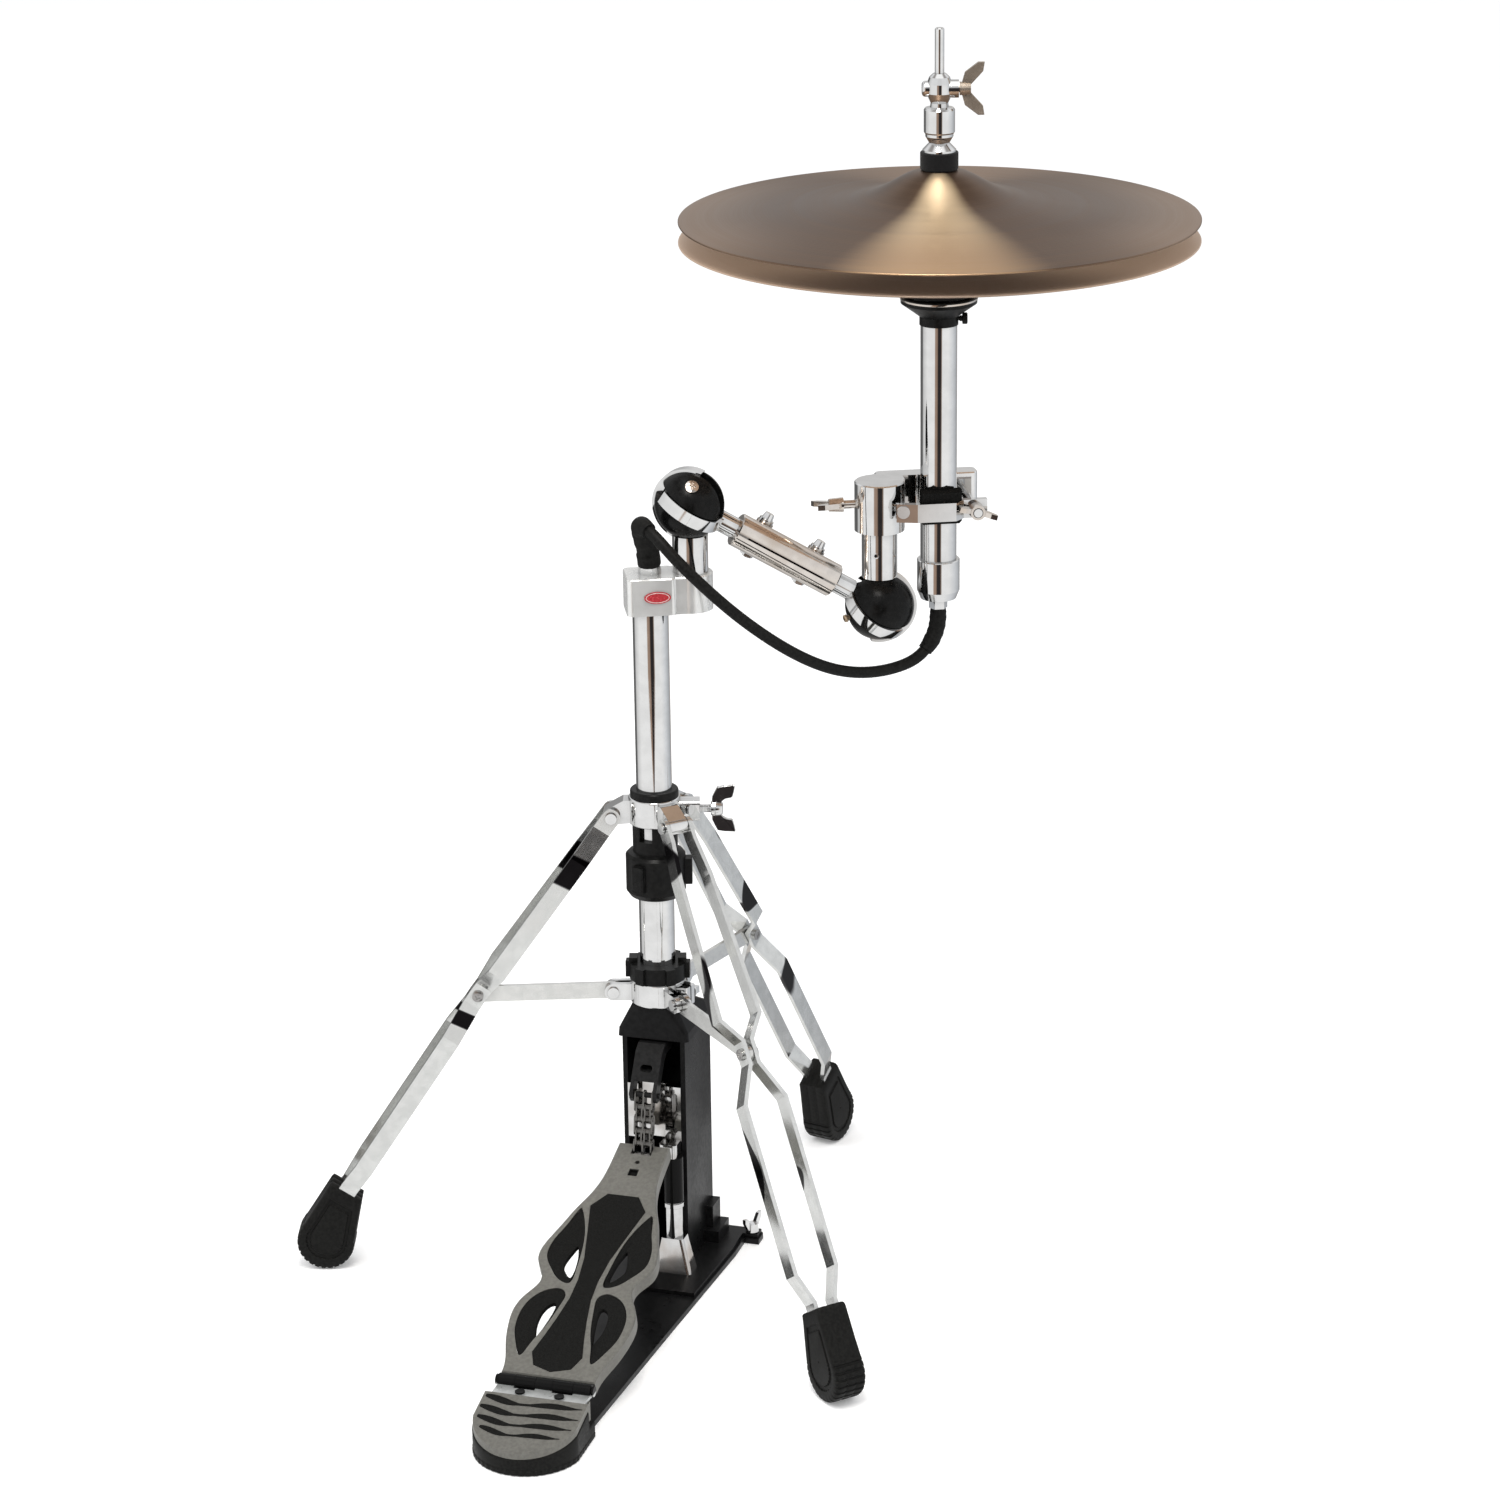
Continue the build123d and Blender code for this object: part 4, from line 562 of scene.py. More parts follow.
# ------------------------------------------------------------------ materials of the pieces
PIECES_BY_MATERIAL = {
    "chrome": "main_tube head_fasteners post_1 base_thumb_screw lower_collar upper_collar "
              "leg_wing_screw arm_rings arm_key_bolts post_2 clamp_body clamp_jaw "
              "upper_tube ferrule pull_rod clutch_body",
    "chrome_warm": "arm_sleeve clamp_wing_bolt clamp_wing_nut",
    "chrome_satin": "head_block",
    "chrome_painted_bronze_reflection": "clutch_wing_screw",
    "strap_chrome": "leg_right leg_rear",
    "strap_chrome_left": "leg_left",
    "stay_chrome": "stay_left stay_right stay_rear",
    "hinge_plate": "heel_hinge",
    "castings_chrome": "frame_castings",
    "chain_steel": "chain",
    "board_steel": "footboard_hardware",
    "black_steel": "base_plate drive_frame frame_hood",
    "link_steel": "pull_link",
    "zinc_steel": "return_spring lower_rod",
    "cast_grey": "heel_plate footboard",
    "rubber": "cable_boot cable_housing cable_end_boot foot_left foot_right foot_rear",
    "grip": "heel_rubber footboard_inlay clamp_pad",
    "black_plastic": "memory_lock tension_ring collar_bushing cymbal_seat tilt_screw",
    "ball_plastic": "ball_1 ball_2",
    "badge_red": "head_badge",
    "felt": "seat_felt clutch_felts",
    "bronze": "top_cymbal",
    "bronze_low": "bottom_cymbal",
}


def dress_pieces():
    material_of = {piece: MATERIALS[name] for name, pieces in PIECES_BY_MATERIAL.items()
                   for piece in pieces.split()}
    for name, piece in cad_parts.items():
        if len(piece.material_slots):
            for slot in piece.material_slots:
                slot.material = material_of[name]
        else:
            piece.data.materials.append(material_of[name])


dress_pieces()


# ------------------------------------------------------------------ mesh helpers
def make(name, mesh, material, smooth=True, sharp=None):
    """Object from (vertices in metres, faces). Edges steeper than sharp degrees stay hard."""
    verts, faces = mesh
    data = bpy.data.meshes.new(name)
    data.from_pydata([tuple(map(float, v)) for v in verts], [], faces)
    data.validate()
    editable = bmesh.new()
    editable.from_mesh(data)
    bmesh.ops.recalc_face_normals(editable, faces=editable.faces)
    editable.to_mesh(data)
    editable.free()
    data.update()
    if smooth:
        data.polygons.foreach_set("use_smooth", [True] * len(data.polygons))
        if sharp:
            data.set_sharp_from_angle(angle=sharp * DEGREE)
    data.materials.append(MATERIALS[material])
    return link_object(name, data)


def add_piece(name, mesh, material, body, slot, replaces=None, **shading):
    """Makes an object that rides on a body and may take the place of a CAD piece."""
    piece = make(name, mesh, material, **shading)
    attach(piece, body)
    if replaces:
        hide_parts(replaces)


def grid_faces(rows, columns, closed=True):
    """Quads between rows of points; closed joins the last column to the first."""
    faces = []
    for i in range(rows - 1):
        for j in range(columns if closed else columns - 1):
            a, b = i * columns + j, i * columns + (j + 1) % columns
            faces.append((a, b, b + columns, a + columns))
    return faces


def flipped(faces):
    return [tuple(reversed(face)) for face in faces]


def lathe(profile, origin, axis=(0, 0, 1), segments=96, start=None):
    """Turns (radius, height) in mm about an axis through origin (metres)."""
    axis = Vector(axis).normalized()
    x = Vector(start) if start else axis.orthogonal()
    x = (x - axis * x.dot(axis)).normalized()
    x, y, axis, origin = (np.array(v) for v in (x, axis.cross(x), axis, Vector(origin)))
    turn = np.linspace(0, 2 * math.pi, segments, endpoint=False)
    rings = []
    for radius, height in profile:
        radius = max(radius / 1000, 1e-5)  # a point on the axis becomes a tiny ring
        rings.append(origin + np.outer(np.cos(turn) * radius, x)
                     + np.outer(np.sin(turn) * radius, y) + axis * (height / 1000))
    return np.concatenate(rings), grid_faces(len(profile), segments)


def sweep(points, radii, segments, caps=True):
    """Round section along points, with one radius per point, all in metres."""
    points = np.array(points, float)
    tangents = np.gradient(points, axis=0)
    tangents /= np.linalg.norm(tangents, axis=1)[:, None]
    up = np.array([0.3, 0.9, 0.1])  # start direction, clear of every path's first tangent
    up -= tangents[0] * up.dot(tangents[0])
    up /= np.linalg.norm(up)
    turn = np.linspace(0, 2 * math.pi, segments, endpoint=False)
    rings = []
    for point, tangent, radius in zip(points, tangents, radii):
        up = up - tangent * up.dot(tangent)
        up /= np.linalg.norm(up)
        side = np.cross(tangent, up)
        rings.append(point + np.outer(np.cos(turn) * radius, up)
                     + np.outer(np.sin(turn) * radius, side))
    faces = grid_faces(len(points), segments)
    if caps:
        faces.append(tuple(reversed(range(segments))))
        faces.append(tuple(range((len(points) - 1) * segments, len(points) * segments)))
    return np.concatenate(rings), faces


def resample(points, step):
    """Evenly spaced points along a line, and their distances along it."""
    points = np.array(points, float)
    run = np.r_[0, np.cumsum(np.linalg.norm(np.diff(points, axis=0), axis=1))]
    even = np.linspace(0, run[-1], max(2, int(run[-1] / step) + 1))
    columns = [np.interp(even, run, points[:, k]) for k in range(points.shape[1])]
    return np.stack(columns, 1), even


def resample_outline(outline, step):
    outline = np.array(outline, float)
    points, run = resample(np.concatenate([outline, outline[:1]]), step)
    return points[:-1], run[:-1]


def natural_spline(xs, ys, x):
    """Natural cubic spline through the points (xs, ys), read at x."""
    xs, ys = np.array(xs, float), np.array(ys, float)
    count = len(xs)
    h = np.diff(xs)
    matrix = np.eye(count)
    rhs = np.zeros(count)
    for i in range(1, count - 1):
        matrix[i, i - 1:i + 2] = h[i - 1], 2 * (h[i - 1] + h[i]), h[i]
        rhs[i] = 6 * ((ys[i + 1] - ys[i]) / h[i] - (ys[i] - ys[i - 1]) / h[i - 1])
    bend = np.linalg.solve(matrix, rhs)
    k = np.clip(np.searchsorted(xs, x) - 1, 0, count - 2)
    t = x - xs[k]
    slope = (ys[k + 1] - ys[k]) / h[k] - h[k] * (2 * bend[k] + bend[k + 1]) / 6
    return (ys[k] + t * slope + bend[k] / 2 * t ** 2
            + (bend[k + 1] - bend[k]) / (6 * h[k]) * t ** 3)


def smooth_outline(points, steps=8):
    """Closed Catmull-Rom curve through the points, with steps points per span."""
    points = np.array(points, float)
    count = len(points)
    curve = []
    for i in range(count):
        p0, p1, p2, p3 = (points[(i + k) % count] for k in (-1, 0, 1, 2))
        for t in np.linspace(0, 1, steps, endpoint=False):
            curve.append(0.5 * (2 * p1 + (p2 - p0) * t + (2 * p0 - 5 * p1 + 4 * p2 - p3) * t * t
                                + (3 * p1 - p0 - 3 * p2 + p3) * t ** 3))
    return np.array(curve)


# ------------------------------------------------------------------ cymbals
CYMBAL_CURVE = [  # radius, depth from the top of the bell
    (6.0, 0.0), (15, 0.5), (22, 2.9), (30, 7.2), (38, 11.6), (46, 15.1),
    (56, 18.0), (72, 20.6), (100, 23.9), (135, 27.6), (160, 30.3), (177.8, 32.4),
]
CYMBAL_EDGE = [(177.62, 0.12), (177.8, 0.45), (177.8, 0.8), (177.6, 1.1)]  # radius, inset
CYMBAL_THICKNESS = 1.2


def cymbal(name, edge_height, up, material, body, replaces):
    """Lathed shell; up is 1 with the bell on top and -1 with the bell below."""
    radii, depths = zip(*CYMBAL_CURVE)
    r = np.concatenate([np.linspace(6.0, 24, 30), np.arange(24.5, 177.0, 0.42), [177.3]])
    # Lathe cuts: fine ripple whose pitch and depth wander with the radius.
    coarse = np.sin(r * 2 * math.pi / 2.1 + 1.4 * np.sin(r / 9.0))
    cut = 0.030 * coarse * np.clip((r - 44) / 8, 0, 1) + 0.016 * np.sin(r * 2 * math.pi / 1.25)
    height = edge_height + up * (depths[-1] - natural_spline(radii, depths, r))
    outer = height + up * np.minimum(cut, 0.0)
    inner = height - up * CYMBAL_THICKNESS
    profile = list(zip(r, outer))
    profile += [(radius, edge_height - up * inset) for radius, inset in CYMBAL_EDGE]
    profile += list(zip(r[::-1], inner[::-1]))
    profile.append(profile[0])
    verts, faces = lathe(profile, (CYMBAL_X, CYMBAL_Y, 0), segments=220, start=(1, 0, 0))
    if up < 0:
        faces = flipped(faces)
    add_piece(name, (verts, faces), material, body, "cymbal_bronze", replaces, sharp=50)


cymbal("top_cymbal_shell", edge_height=768.6, up=1, material="bronze", body="rod",
       replaces="top_cymbal")
cymbal("bottom_cymbal_shell", edge_height=753.0, up=-1, material="bronze_low", body="seat",
       replaces="bottom_cymbal")

# ------------------------------------------------------------------ cable
CABLE_PATH = [  # x, y, z of the centre line, from the base to the stem
    (0.0, 0.0, 532.0), (-0.15, -0.43, 536.62), (-0.49, -1.53, 541.12), (-0.99, -3.27, 545.39),
    (-1.45, -5.27, 549.56), (-1.73, -7.31, 553.72), (-1.67, -9.69, 557.71),
    (-1.15, -12.68, 561.21), (-0.05, -16.24, 563.97), (1.85, -20.05, 565.76),
    (4.79, -23.6, 566.12), (8.31, -26.45, 565.18), (11.96, -28.7, 563.42),
    (15.58, -30.47, 561.1), (19.08, -31.82, 558.37), (22.48, -32.76, 555.35),
    (25.81, -33.35, 552.16), (29.13, -33.69, 548.93), (32.47, -33.8, 545.7),
    (35.81, -33.71, 542.48), (39.14, -33.43, 539.25), (42.45, -32.97, 536.02),
    (45.72, -32.35, 532.78), (48.95, -31.58, 529.54), (52.15, -30.66, 526.29),
    (55.31, -29.61, 523.05), (58.43, -28.42, 519.82), (61.53, -27.11, 516.62),
    (64.6, -25.69, 513.44), (67.66, -24.15, 510.29), (70.7, -22.51, 507.19),
    (73.73, -20.78, 504.12), (76.74, -18.95, 501.09), (79.74, -17.03, 498.11),
    (82.72, -15.02, 495.16), (85.7, -12.94, 492.26), (88.66, -10.78, 489.41),
    (91.61, -8.56, 486.6), (94.56, -6.26, 483.84), (97.52, -3.9, 481.14),
    (100.48, -1.48, 478.5), (103.46, 1.0, 475.94), (106.45, 3.53, 473.45),
    (109.47, 6.12, 471.04), (112.51, 8.76, 468.72), (115.57, 11.46, 466.51),
    (118.66, 14.23, 464.41), (121.76, 17.07, 462.45), (124.89, 19.99, 460.63),
    (128.03, 22.99, 458.98), (131.18, 26.06, 457.5), (134.35, 29.2, 456.19),
    (137.53, 32.4, 455.06), (140.72, 35.63, 454.12), (143.94, 38.9, 453.38),
    (147.17, 42.19, 452.82), (150.42, 45.49, 452.47), (153.67, 48.81, 452.33),
    (156.91, 52.14, 452.39), (160.12, 55.49, 452.66), (163.29, 58.85, 453.14),
    (166.42, 62.21, 453.86), (169.48, 65.54, 454.93), (172.43, 68.76, 456.49),
    (175.22, 71.78, 458.64), (177.76, 74.5, 461.41), (180.0, 76.91, 464.69),
    (181.9, 78.99, 468.38), (183.41, 80.71, 472.42), (184.47, 81.95, 476.76),
    (185.04, 82.62, 481.32), (185.22, 82.85, 485.95), (185.21, 82.85, 490.6),
]
CABLE_POINTS, CABLE_RUN = resample(np.array(CABLE_PATH) / 1000, step=0.0014)
# The housing is cut at these shares of the length into separate runs.
CABLE_CUTS = [0.150, 0.27, 0.40, 0.53, 0.66, 0.78, 0.912]


def boot_radius(run):
    """Collar, narrow neck, ribs, then a taper. run is in metres from the base."""
    mm = run * 1000
    if mm < 11.0:
        radius = 8.2 if 1.2 < mm < 10.2 else 7.6
    elif mm < 12.2:
        radius = 7.3
    elif mm < 36:
        radius = 7.2 - 0.35 * math.sin((mm - 12) / 2.6) ** 2
    else:
        radius = 7.2
    if mm > 40:
        radius -= (mm - 40) * 0.14
    return max(radius, 4.6) / 1000


def end_boot_radius(run):
    """Thick at the stem with a stepped lip, thinner beyond 27 mm, lightly ribbed."""
    mm = (CABLE_RUN[-1] - run) * 1000
    if mm < 2.0:
        radius = 5.4
    else:
        radius = 5.9 if mm < 27 else 5.3
    return (radius + 0.18 * math.sin(mm * 1.15)) / 1000


def housing_radius(run):
    return (4.05 + 0.04 * math.sin(run * 1000 * 1.9)) / 1000


def cable_part(start, end, radius_at, segments):
    """Mesh and centre line of the cable between two shares of its length."""
    last = len(CABLE_POINTS) - 1
    part = slice(int(start * last), int(end * last) + 1)
    points = CABLE_POINTS[part]
    return sweep(points, [radius_at(run) for run in CABLE_RUN[part]], segments), points


def cable():
    boot, _ = cable_part(0.0, 0.158, boot_radius, segments=36)
    add_piece("cable_boot_visual", boot, "rubber", "base", "rubber_black", "cable_boot",
              sharp=45)
    end_boot, _ = cable_part(0.905, 1.0, end_boot_radius, segments=36)
    add_piece("cable_end_boot_visual", end_boot, "rubber", "stem", "rubber_black",
              "cable_end_boot", sharp=45)
    for k in range(len(CABLE_CUTS) - 1):
        mesh, points = cable_part(*CABLE_CUTS[k:k + 2], housing_radius, segments=26)
        housing = make(f"cable_run_{k + 1}", mesh, "rubber", sharp=45)
        if k == 0:
            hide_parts("cable_housing")
        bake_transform(housing)


cable()


# ------------------------------------------------------------------ return spring
def return_spring():
    """Coil of wire round the Z axis, from its foot to its head, left in place in the scene."""
    turns, steps_per_turn = 13, 22
    foot_height, length = 232.9, 154.6
    coil_radius, wire_radius = 8.4, 1.3
    t = np.linspace(0, 1, turns * steps_per_turn + 1)
    angle = t * (2 * turns) * math.pi
    helix = np.stack([coil_radius * np.cos(angle), coil_radius * np.sin(angle),
                      foot_height + length * t], 1)
    mesh = sweep(helix / 1000, [wire_radius / 1000] * len(t), 12)
    spring = make("return_spring_coil", mesh, "zinc_steel", sharp=50)
    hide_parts("return_spring")
    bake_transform(spring)


return_spring()


# ------------------------------------------------------------------ screws and rivets
def screw_head(name, seat, axis, radius, height, body, material, cross, width, depth, twist):
    """Domed head with a cross recess.

    seat is in metres; cross and width are the recess arms as shares of the radius.
    """
    axis = Vector(axis).normalized()
    x = Matrix.Rotation(twist, 3, axis) @ axis.orthogonal().normalized()
    y = axis.cross(x)
    rings, segments = 30, 96
    turn = np.linspace(0, 2 * math.pi, segments, endpoint=False)
    rows = []
    for k in range(rings):
        r = radius * k / (rings - 1) if k else 0.01
        px, py = r * np.cos(turn), r * np.sin(turn)
        dome = height * (1 - 0.42 * (r / radius) ** 3.0) * np.ones(segments)
        arm_x = (np.abs(px) < width * radius) & (np.abs(py) < cross * radius)
        arm_y = (np.abs(py) < width * radius) & (np.abs(px) < cross * radius)
        core = r < width * radius * 1.9
        rows.append(np.stack([px, py, np.where(arm_x | arm_y | core, height - depth, dome)], 1))
    rows.append(np.stack([radius * np.cos(turn), radius * np.sin(turn), np.zeros(segments)], 1))
    local = np.concatenate(rows) / 1000
    verts = (np.array(seat) + local[:, :1] * np.array(x) + local[:, 1:2] * np.array(y)
             + local[:, 2:] * np.array(axis))
    add_piece(name, (verts, grid_faces(rings + 1, segments)), material, body, "chrome",
              sharp=28)


def ball_1_screw():
    axis = ARM_SIDE * 0.72 + np.array([0, 0, 0.69])
    axis /= np.linalg.norm(axis)
    screw_head("ball_1_screw", BALL_1 + axis * 0.02475, axis, radius=4.6, height=0.9,
               body="ball_1", material="chrome_warm", cross=0.6, width=0.15, depth=0.5,
               twist=0.75)


def leg_rivets():
    """Rivet heads on both sides of the pivots between the legs and the stays."""
    for leg, angle in LEGS.items():
        out, side = directions(angle * DEGREE)
        pivot = 0.1295 * out + 0.2126 * UP
        for sign, tag in ((1, "a"), (-1, "b")):
            screw_head(f"rivet_mid_{leg}_{tag}", pivot + side * sign * 0.00628, side * sign,
                       radius=4.0, height=0.7, body=f"leg_{leg}", material="zinc_steel",
                       cross=0.5, width=0.13, depth=0.35, twist=0.4)


def set_screw(name, post, body, azimuth, height):
    """Set screw a hair out of its hole in a post, with a deep hexagonal socket darkened by
    painted shade: a flat black hexagon across its mouth.
    """
    post_radius, r = 0.0125, 2.1
    axis, _ = directions(azimuth)
    seat = np.array([post[0], post[1], height]) + axis * post_radius
    profile = [(r, -0.4), (r, 0.12), (r * 0.9, 0.22), (r * 0.62, 0.22), (r * 0.55, 0.1),
               (r * 0.55, -0.9), (0.0, -1.2)]
    add_piece(name, lathe(profile, seat, axis, segments=48), "chrome", body, "chrome",
              sharp=30)
    # Painted shade: a flat black hexagon across the mouth of the socket stands in for the shade
    # inside it.
    socket = lathe([(r * 0.55, 0.12), (0.0, 0.12)], seat, axis, segments=6)
    add_piece(name + "_socket", socket, "black_plastic", body, "plastic_black", smooth=False)


ball_1_screw()
leg_rivets()
set_screw("post_2_set_screw", BALL_2, "post_2", CAMERA_AZIMUTH - 15 * DEGREE, height=0.534)
set_screw("post_1_set_screw", BALL_1, "base", CAMERA_AZIMUTH - 14 * DEGREE, height=0.5345)

# ------------------------------------------------------------------ rubber feet
# Side view: distance out from the Z axis, height.
WHEEL_CENTRE = np.array([247.0, 21.0])
WHEEL_RADIUS = 20.6
SOCKET_DOWN = np.array([0.551, -0.8345])  # along the socket, towards the wheel
SOCKET_ACROSS = np.array([-SOCKET_DOWN[1], SOCKET_DOWN[0]])
SOCKET_TOP = np.array([229.0, 62.0]) + SOCKET_DOWN * 1.5
FOOT_HALF_WIDTH = 12.0
FOOT_SHOULDERS = [  # share of the half width, share of the outline size
    (-1.0, 0.80), (-0.995, 0.90), (-0.95, 0.962), (-0.86, 0.99), (-0.72, 1.0), (-0.4, 1.0),
    (-0.33, 0.985), (-0.27, 0.985), (-0.2, 1.0), (0.2, 1.0), (0.27, 0.985), (0.33, 0.985),
    (0.4, 1.0), (0.72, 1.0), (0.86, 0.99), (0.95, 0.962), (0.995, 0.90), (1.0, 0.80),
]
FOOT_SIDE_STEPS = [  # share of the outline size, lift of the side face
    (0.72, 0.0), (0.70, -0.9), (0.60, -0.9), (0.58, 0.1), (0.30, 0.35), (0.02, 0.4),
]


def convex_hull(points):
    points = sorted(map(tuple, points))

    def chain(ordered):
        hull = []
        for p in ordered:
            while len(hull) > 1 and (
                    (hull[-1][0] - hull[-2][0]) * (p[1] - hull[-2][1])
                    - (hull[-1][1] - hull[-2][1]) * (p[0] - hull[-2][0])) <= 0:
                hull.pop()
            hull.append(p)
        return hull[:-1]
    return chain(points) + chain(points[::-1])


def foot_outline():
    """Tapered socket running down into a wheel, scalloped where it meets the floor."""
    wheel = [WHEEL_CENTRE + WHEEL_RADIUS * np.array([math.cos(t), math.sin(t)])
             for t in np.linspace(0, 2 * math.pi, 120, endpoint=False)]
    socket = [SOCKET_TOP + SOCKET_ACROSS * sign * half + SOCKET_DOWN * down
              for half, down in ((12.6, 0), (13.4, 2)) for sign in (1, -1)]
    outline, _ = resample_outline(convex_hull(wheel + socket), step=0.55)
    spoke = outline - WHEEL_CENTRE
    radius = np.hypot(spoke[:, 0], spoke[:, 1])
    angle = np.arctan2(spoke[:, 1], spoke[:, 0])
    on_tread = (radius < WHEEL_RADIUS + 0.3) & ((angle < 0.75) | (angle > 2.9))
    notch = np.abs(np.cos(angle * 13)) < 0.42
    scallop = np.where(on_tread, 0.42 - 0.85 * notch, 0.0)
    return WHEEL_CENTRE + spoke * ((radius + scallop) / radius)[:, None]


def foot(leg):
    out, side = directions(LEGS[leg] * DEGREE)
    outline = foot_outline()
    count = len(outline)
    middle = WHEEL_CENTRE * 0.35 + outline.mean(0) * 0.65

    def ring(scale, across, lift=0.0):
        q = middle + (outline - middle) * scale
        half = FOOT_HALF_WIDTH - 0.6 * np.clip((q[:, 1] - 26) / 20, 0, 1) + lift
        return (q[:, :1] / 1000 * out + UP * q[:, 1:] / 1000
                + side * (across * half / 1000)[:, None])

    rings = [ring(scale, across) for across, scale in FOOT_SHOULDERS]
    faces = grid_faces(len(rings), count)
    # Stepped side faces, from the two outermost rings inwards.
    for sign, previous in ((-1, 0), (1, (len(FOOT_SHOULDERS) - 1) * count)):
        for scale, lift in FOOT_SIDE_STEPS:
            current = len(rings) * count
            rings.append(ring(scale, sign, lift))
            for j in range(count):
                k = (j + 1) % count
                a, b, c, d = previous + j, previous + k, current + k, current + j
                faces.append((a, b, c, d) if sign > 0 else (b, a, d, c))
            previous = current
    verts = np.concatenate(rings)
    verts[:, 2] = np.maximum(verts[:, 2], 0.00005)
    add_piece(f"foot_{leg}_rubber", (verts, faces), "rubber", f"leg_{leg}", "rubber_black",
              f"foot_{leg}", sharp=34)


for leg in LEGS:
    foot(leg)

# ------------------------------------------------------------------ footboard
BOARD_TILT = 19.39 * DEGREE
BOARD_ORIGIN_Y, BOARD_ORIGIN_Z = -261.0, 30.0
# Outlines of the openings on the +X side: x across, y up the board.
UPPER_OPENING = [
    (25, 165.5), (19, 152), (15, 138), (12.6, 122), (11.4, 106), (13.5, 93.5),
    (20, 95.5), (29, 105), (35.8, 116), (37, 126), (34.8, 138), (30.5, 152),
]
LOWER_OPENING = [
    (19, 88), (29, 83), (36, 72), (38.2, 58), (36.6, 45), (31.5, 32),
    (25.8, 22.5), (21.8, 34), (17.6, 47), (14.2, 61), (12, 74), (12.6, 85),
]
# Name, outline, scale of the inner edge in x and y, shift of the inner edge.
LINERS = [
    ("upper", UPPER_OPENING, (0.36, 0.42), (-6.0, -11.0)),
    ("lower", LOWER_OPENING, (0.32, 0.52), (-4.6, 2.0)),
]
LINER_SECTION = [  # share of the way from outer to inner edge, height above the board plane
    (0.0, -4.2), (0.0, 0.9), (0.03, 1.15), (0.25, 0.75), (0.6, 0.1), (0.93, -0.5),
    (1.0, -0.9), (1.0, -4.2),
]
SOCKET_OUTLINE = [
    (3.45, 0), (3.40, 3.0), (3.0, 3.40), (0, 3.45), (-3.0, 3.40), (-3.40, 3.0),
    (-3.45, 0), (-3.40, -3.0), (-3.0, -3.40), (0, -3.45), (3.0, -3.40), (3.40, -3.0),
]
SOCKET_SECTION = [  # share of the outline size, height above the board plane
    (1.0, -4.6), (1.0, 0.7), (0.86, 0.7), (0.84, -1.4), (0.5, -1.9), (0.02, -2.0),
]
SOCKET_UP_BOARD = 207.0


def on_board(points, height):
    """Board coordinates (x, y up the board, height out of it) to metres in the scene."""
    c, s = math.cos(BOARD_TILT), math.sin(BOARD_TILT)
    return np.stack([points[:, 0], BOARD_ORIGIN_Y + points[:, 1] * c - height * s,
                     BOARD_ORIGIN_Z + points[:, 1] * s + height * c], 1) / 1000


def board_liner(tag, opening, scale, shift, mirror, side):
    outline = smooth_outline([(mirror * x, y) for x, y in opening])
    centre = outline.mean(0)
    outer = centre + (outline - centre) * 0.993
    inner = centre + (outline - centre) * np.array(scale) + (mirror * shift[0], shift[1])
    rings = [on_board(outer * (1 - share) + inner * share, height)
             for share, height in LINER_SECTION]
    count = len(outline)
    faces = grid_faces(len(rings), count)
    last = (len(rings) - 1) * count
    faces += [(last + j, last + (j + 1) % count, (j + 1) % count, j) for j in range(count)]
    if mirror < 0:
        faces = flipped(faces)
    add_piece(f"board_liner_{tag}_{side}", (np.concatenate(rings), faces), "grip", "pedal",
              "grip_black", sharp=40)


def board_socket():
    """Blind square socket on the centre line, near the upper end of the board."""
    outline = smooth_outline(SOCKET_OUTLINE)
    rings = [on_board(outline * scale + np.array([0, SOCKET_UP_BOARD]), height)
             for scale, height in SOCKET_SECTION]
    mesh = np.concatenate(rings), grid_faces(len(rings), len(outline))
    add_piece("board_socket", mesh, "grip", "pedal", "rubber_black", sharp=40)


for liner in LINERS:
    for mirror, side in ((1, "r"), (-1, "l")):
        board_liner(*liner, mirror, side)
board_socket()

# ------------------------------------------------------------------ heel
HEEL_HALF_WIDTH = 37.5
HEEL_SIDE_Y = [-268.0, -285.0, -303.0]  # points down each side; the last starts the arc
HEEL_END_Y = -334.0
SKIRT_SOLE = [  # height, offset outward, share of the scallops
    (0.05, -0.8, 0.6), (0.4, -0.2, 1.0), (3.4, 0.0, 1.0), (4.0, -0.5, 0.15), (5.0, -0.35, 0.0),
]
# Height from the sloping top edge, offset outward.
SKIRT_TOP = [(-1.6, -0.3), (-0.5, -0.45), (0.0, -0.95), (0.0, -4.5)]
# y, half length and thickness factor.
HEEL_GRIPS = [(-285.2, 34.6, 1.0), (-295.4, 35.2, 1.0), (-305.4, 33.6, 0.95),
              (-315.0, 28.6, 0.85)]
# Share of the thickness, height above the plate.
GRIP_SECTION = [(0.5, -0.8), (0.5, 0.10), (0.42, 0.36), (-0.42, 0.36), (-0.5, 0.10),
                (-0.5, -0.8)]


def heel_slope(y):
    """Rise of the heel plate, zero at y = -279 and falling towards its -Y end."""
    return (y + 279.0) * 13.1 / 55.0


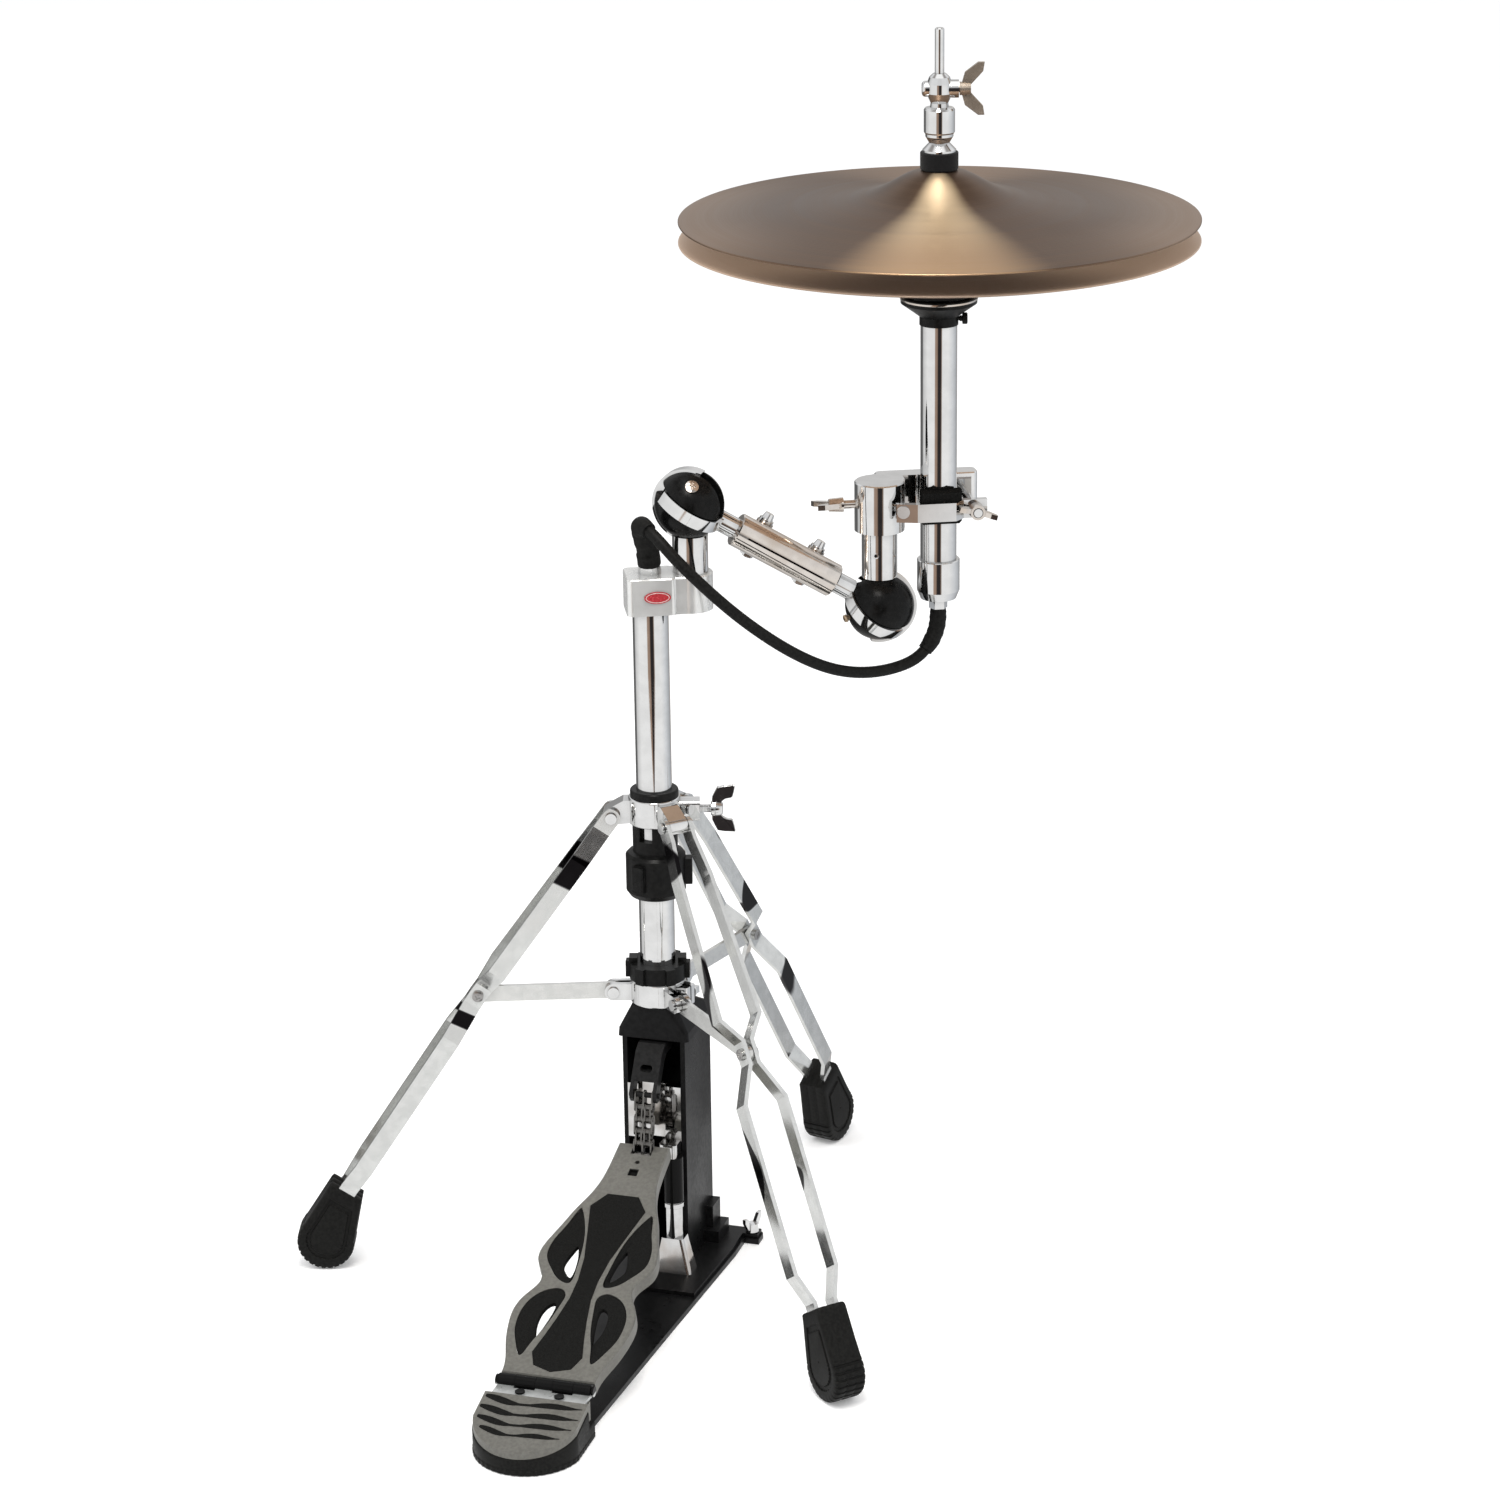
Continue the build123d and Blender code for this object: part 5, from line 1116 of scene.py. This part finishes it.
def heel_skirt():
    """Rubber skirt round the heel, with a scalloped sole."""
    side_top, side_low, arc_y = HEEL_SIDE_Y
    rise = arc_y - HEEL_END_Y
    radius = (HEEL_HALF_WIDTH ** 2 + rise ** 2) / (2 * rise)
    centre_y = HEEL_END_Y + radius
    first = math.atan2(arc_y - centre_y, HEEL_HALF_WIDTH)
    arc = [(radius * math.cos(t), centre_y + radius * math.sin(t))
           for t in np.linspace(first, -math.pi - first, 64)]
    outline, run = resample_outline(
        [(HEEL_HALF_WIDTH, side_top), (HEEL_HALF_WIDTH, side_low), *arc,
         (-HEEL_HALF_WIDTH, side_low), (-HEEL_HALF_WIDTH, side_top)], step=0.7)
    outward = outline - np.array([0.0, -298.0])
    outward = outward / np.linalg.norm(outward, axis=1)[:, None]
    y = outline[:, 1]
    waves = 0.55 * (np.abs(np.sin(run * math.pi / 5.2)) ** 0.6) - 0.45
    scallop = np.where(y < -286, waves, -0.1)
    top = np.where(y > -279.6, 12.0, 25.0 + heel_slope(y))
    sections = [(np.full(len(y), z), offset, share) for z, offset, share in SKIRT_SOLE]
    sections += [(top + z, offset, 0.0) for z, offset in SKIRT_TOP]
    rows = [np.c_[outline + outward * (offset + scallop * share)[:, None], z] / 1000
            for z, offset, share in sections]
    faces = flipped(grid_faces(len(rows), len(outline)))
    faces.append(tuple(range(len(outline))))
    add_piece("heel_skirt", (np.concatenate(rows), faces), "rubber", "base", "rubber_black",
              "heel_rubber", sharp=40)


def heel_grip(name, y, half_length, factor):
    """Dark lens-shaped grip across the casting, with two swellings along it."""
    x = np.linspace(-half_length, half_length, 90)
    u = x / half_length

    def swelling(centre, width):
        return np.clip(1 - ((u - centre) / width) ** 2, 0, 1)

    middle = y - 3.0 * np.cos(u * math.pi / 2) + 1.1 * np.sin(u * math.pi * 1.5) + 1.2
    thickness = factor * (4.4 * swelling(-0.70, 0.42) + 3.4 * swelling(0.42, 0.46)
                          + 2.1 * np.sqrt(np.clip(1 - u * u, 0, 1)))
    thickness = np.maximum(thickness, 0.08)
    rows = []
    for share, height in GRIP_SECTION:
        edge = middle + thickness * share
        rows.append(np.c_[x, edge, 30.0 + heel_slope(edge) + height] / 1000)
    faces = flipped(grid_faces(len(rows), len(x), closed=False))
    add_piece(name, (np.concatenate(rows), faces), "grip", "base", "rubber_black", sharp=35)


heel_skirt()
for i, grip in enumerate(HEEL_GRIPS):
    heel_grip(f"heel_grip_{i + 1}", *grip)

# ------------------------------------------------------------------ tripod wing screw
WING_OUT, WING_SIDE = directions((LEGS["left"] - 180) * DEGREE)  # opposite the left leg
WING_ORIGIN = 0.3525 * UP
# Radius, distance out; the hub closes the outer end.
WING_TIP = [(0.0, 13.6), (2.4, 13.7), (2.9, 14.3)]
WING_HUB = [
    (3.0, 39.7), (4.6, 39.8), (5.2, 40.3), (5.2, 42.0), (4.95, 42.3), (4.95, 43.0),
    (5.15, 43.3), (4.85, 46.6), (4.3, 48.0), (3.2, 48.5), (0.0, 48.6),
]
BLADE_OUTLINE = [  # distance out, distance from the screw's axis
    (40.4, 3.6), (40.6, 8.4), (42.6, 12.6), (44.4, 16.0), (50.0, 16.9), (56.6, 17.3),
    (57.2, 16.4), (56.4, 12.4), (55.4, 8.9), (54.4, 8.0), (50.2, 7.2), (48.0, 5.6), (47.4, 3.6),
]
# Place across the thickness, inset of the outline.
BLADE_SECTION = [(-1.5, 1.1), (-1.5, 0.45), (-1.15, 0.08), (0.0, 0.0), (1.15, 0.08),
                 (1.5, 0.45), (1.5, 1.1)]


def wing_shank():
    profile = list(WING_TIP)
    for i in range(24):  # thread crests and roots
        profile += [(3.0, 14.6 + i * 1.04), (2.72, 15.1 + i * 1.04)]
    profile += WING_HUB
    add_piece("leg_wing_shank", lathe(profile, WING_ORIGIN, WING_OUT, segments=56), "chrome",
              "leg_wing", "chrome", "leg_wing_screw", sharp=32)


def wing_blade(tag, sign):
    """Broad pressed blade above (sign 1) or below (-1) the hub, bent to one side."""
    outline, _ = resample_outline(BLADE_OUTLINE, step=0.45)
    along = np.roll(outline, -1, 0) - np.roll(outline, 1, 0)
    inward = np.stack([along[:, 1], -along[:, 0]], 1)
    inward /= np.linalg.norm(inward, axis=1)[:, None]
    rows = []
    for across, inset in BLADE_SECTION:
        p = outline + inward * inset
        bend = across + 0.005 * (p[:, 1] - 5.0) ** 2 * sign
        rows.append(WING_ORIGIN + (p[:, :1] * WING_OUT + sign * p[:, 1:] * UP
                                   - bend[:, None] * WING_SIDE) / 1000)
    count = len(outline)
    faces = grid_faces(len(rows), count)
    faces.append(tuple(reversed(range(count))))
    faces.append(tuple(range((len(rows) - 1) * count, len(rows) * count)))
    add_piece(f"leg_wing_blade_{tag}", (np.concatenate(rows), faces), "chrome", "leg_wing",
              "chrome", sharp=32)


wing_shank()
wing_blade("up", 1)
wing_blade("down", -1)


# ------------------------------------------------------------------ small trim
def badge_rim():
    """Plain raised oval on the face of the badge."""
    low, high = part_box("head_badge")
    centre = (np.array(low) + np.array(high)) / 2
    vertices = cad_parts["head_badge"].data.vertices
    face = max(0.0, float(np.max([(np.array(v.co) - centre) @ ARM_SIDE for v in vertices])))
    half_width, half_height, wire_radius = 0.0080, 0.0034, 0.00022  # metres
    points = [centre + ARM_SIDE * face + ARM_OUT * half_width * math.cos(t)
              + UP * half_height * math.sin(t) for t in np.linspace(0, 2 * math.pi, 97)]
    mesh = sweep(points, [wire_radius] * len(points), 10, caps=False)
    add_piece("badge_rim", mesh, "badge_rim", "base", "badge_red")


def ball_2_screw():
    """Small brass screw low on the second ball."""
    axis = ARM_ABOVE * -0.62 + ARM_SIDE * 0.25 - ARM_ALONG * 0.62
    axis /= np.linalg.norm(axis)
    profile = [(1.5, -4), (1.5, 1.6), (2.5, 1.8), (2.7, 2.2), (2.7, 3.6), (2.3, 4.1),
               (1.2, 4.2), (1.1, 3.2), (0, 3.2)]
    add_piece("ball_2_screw", lathe(profile, BALL_2 + axis * 0.0240, axis, segments=48),
              "brass_screw", "ball_2", "chrome", sharp=30)


def seat_band():
    """Thin bright band under the lip of the cymbal seat."""
    low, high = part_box("cymbal_seat")
    radius = (high.x - low.x) / 2 * 1000
    profile = [(radius - 0.6, 711.8), (radius + 0.12, 712.0), (radius + 0.25, 712.6),
               (radius + 0.12, 713.2), (radius - 0.6, 713.4)]
    add_piece("seat_band", lathe(profile, (CYMBAL_X, CYMBAL_Y, 0), segments=120),
              "chrome_warm", "stem", "chrome", sharp=40)


badge_rim()
ball_2_screw()
seat_band()


def plain(bounds):
    return [[float(x) for x in corner] for corner in bounds]
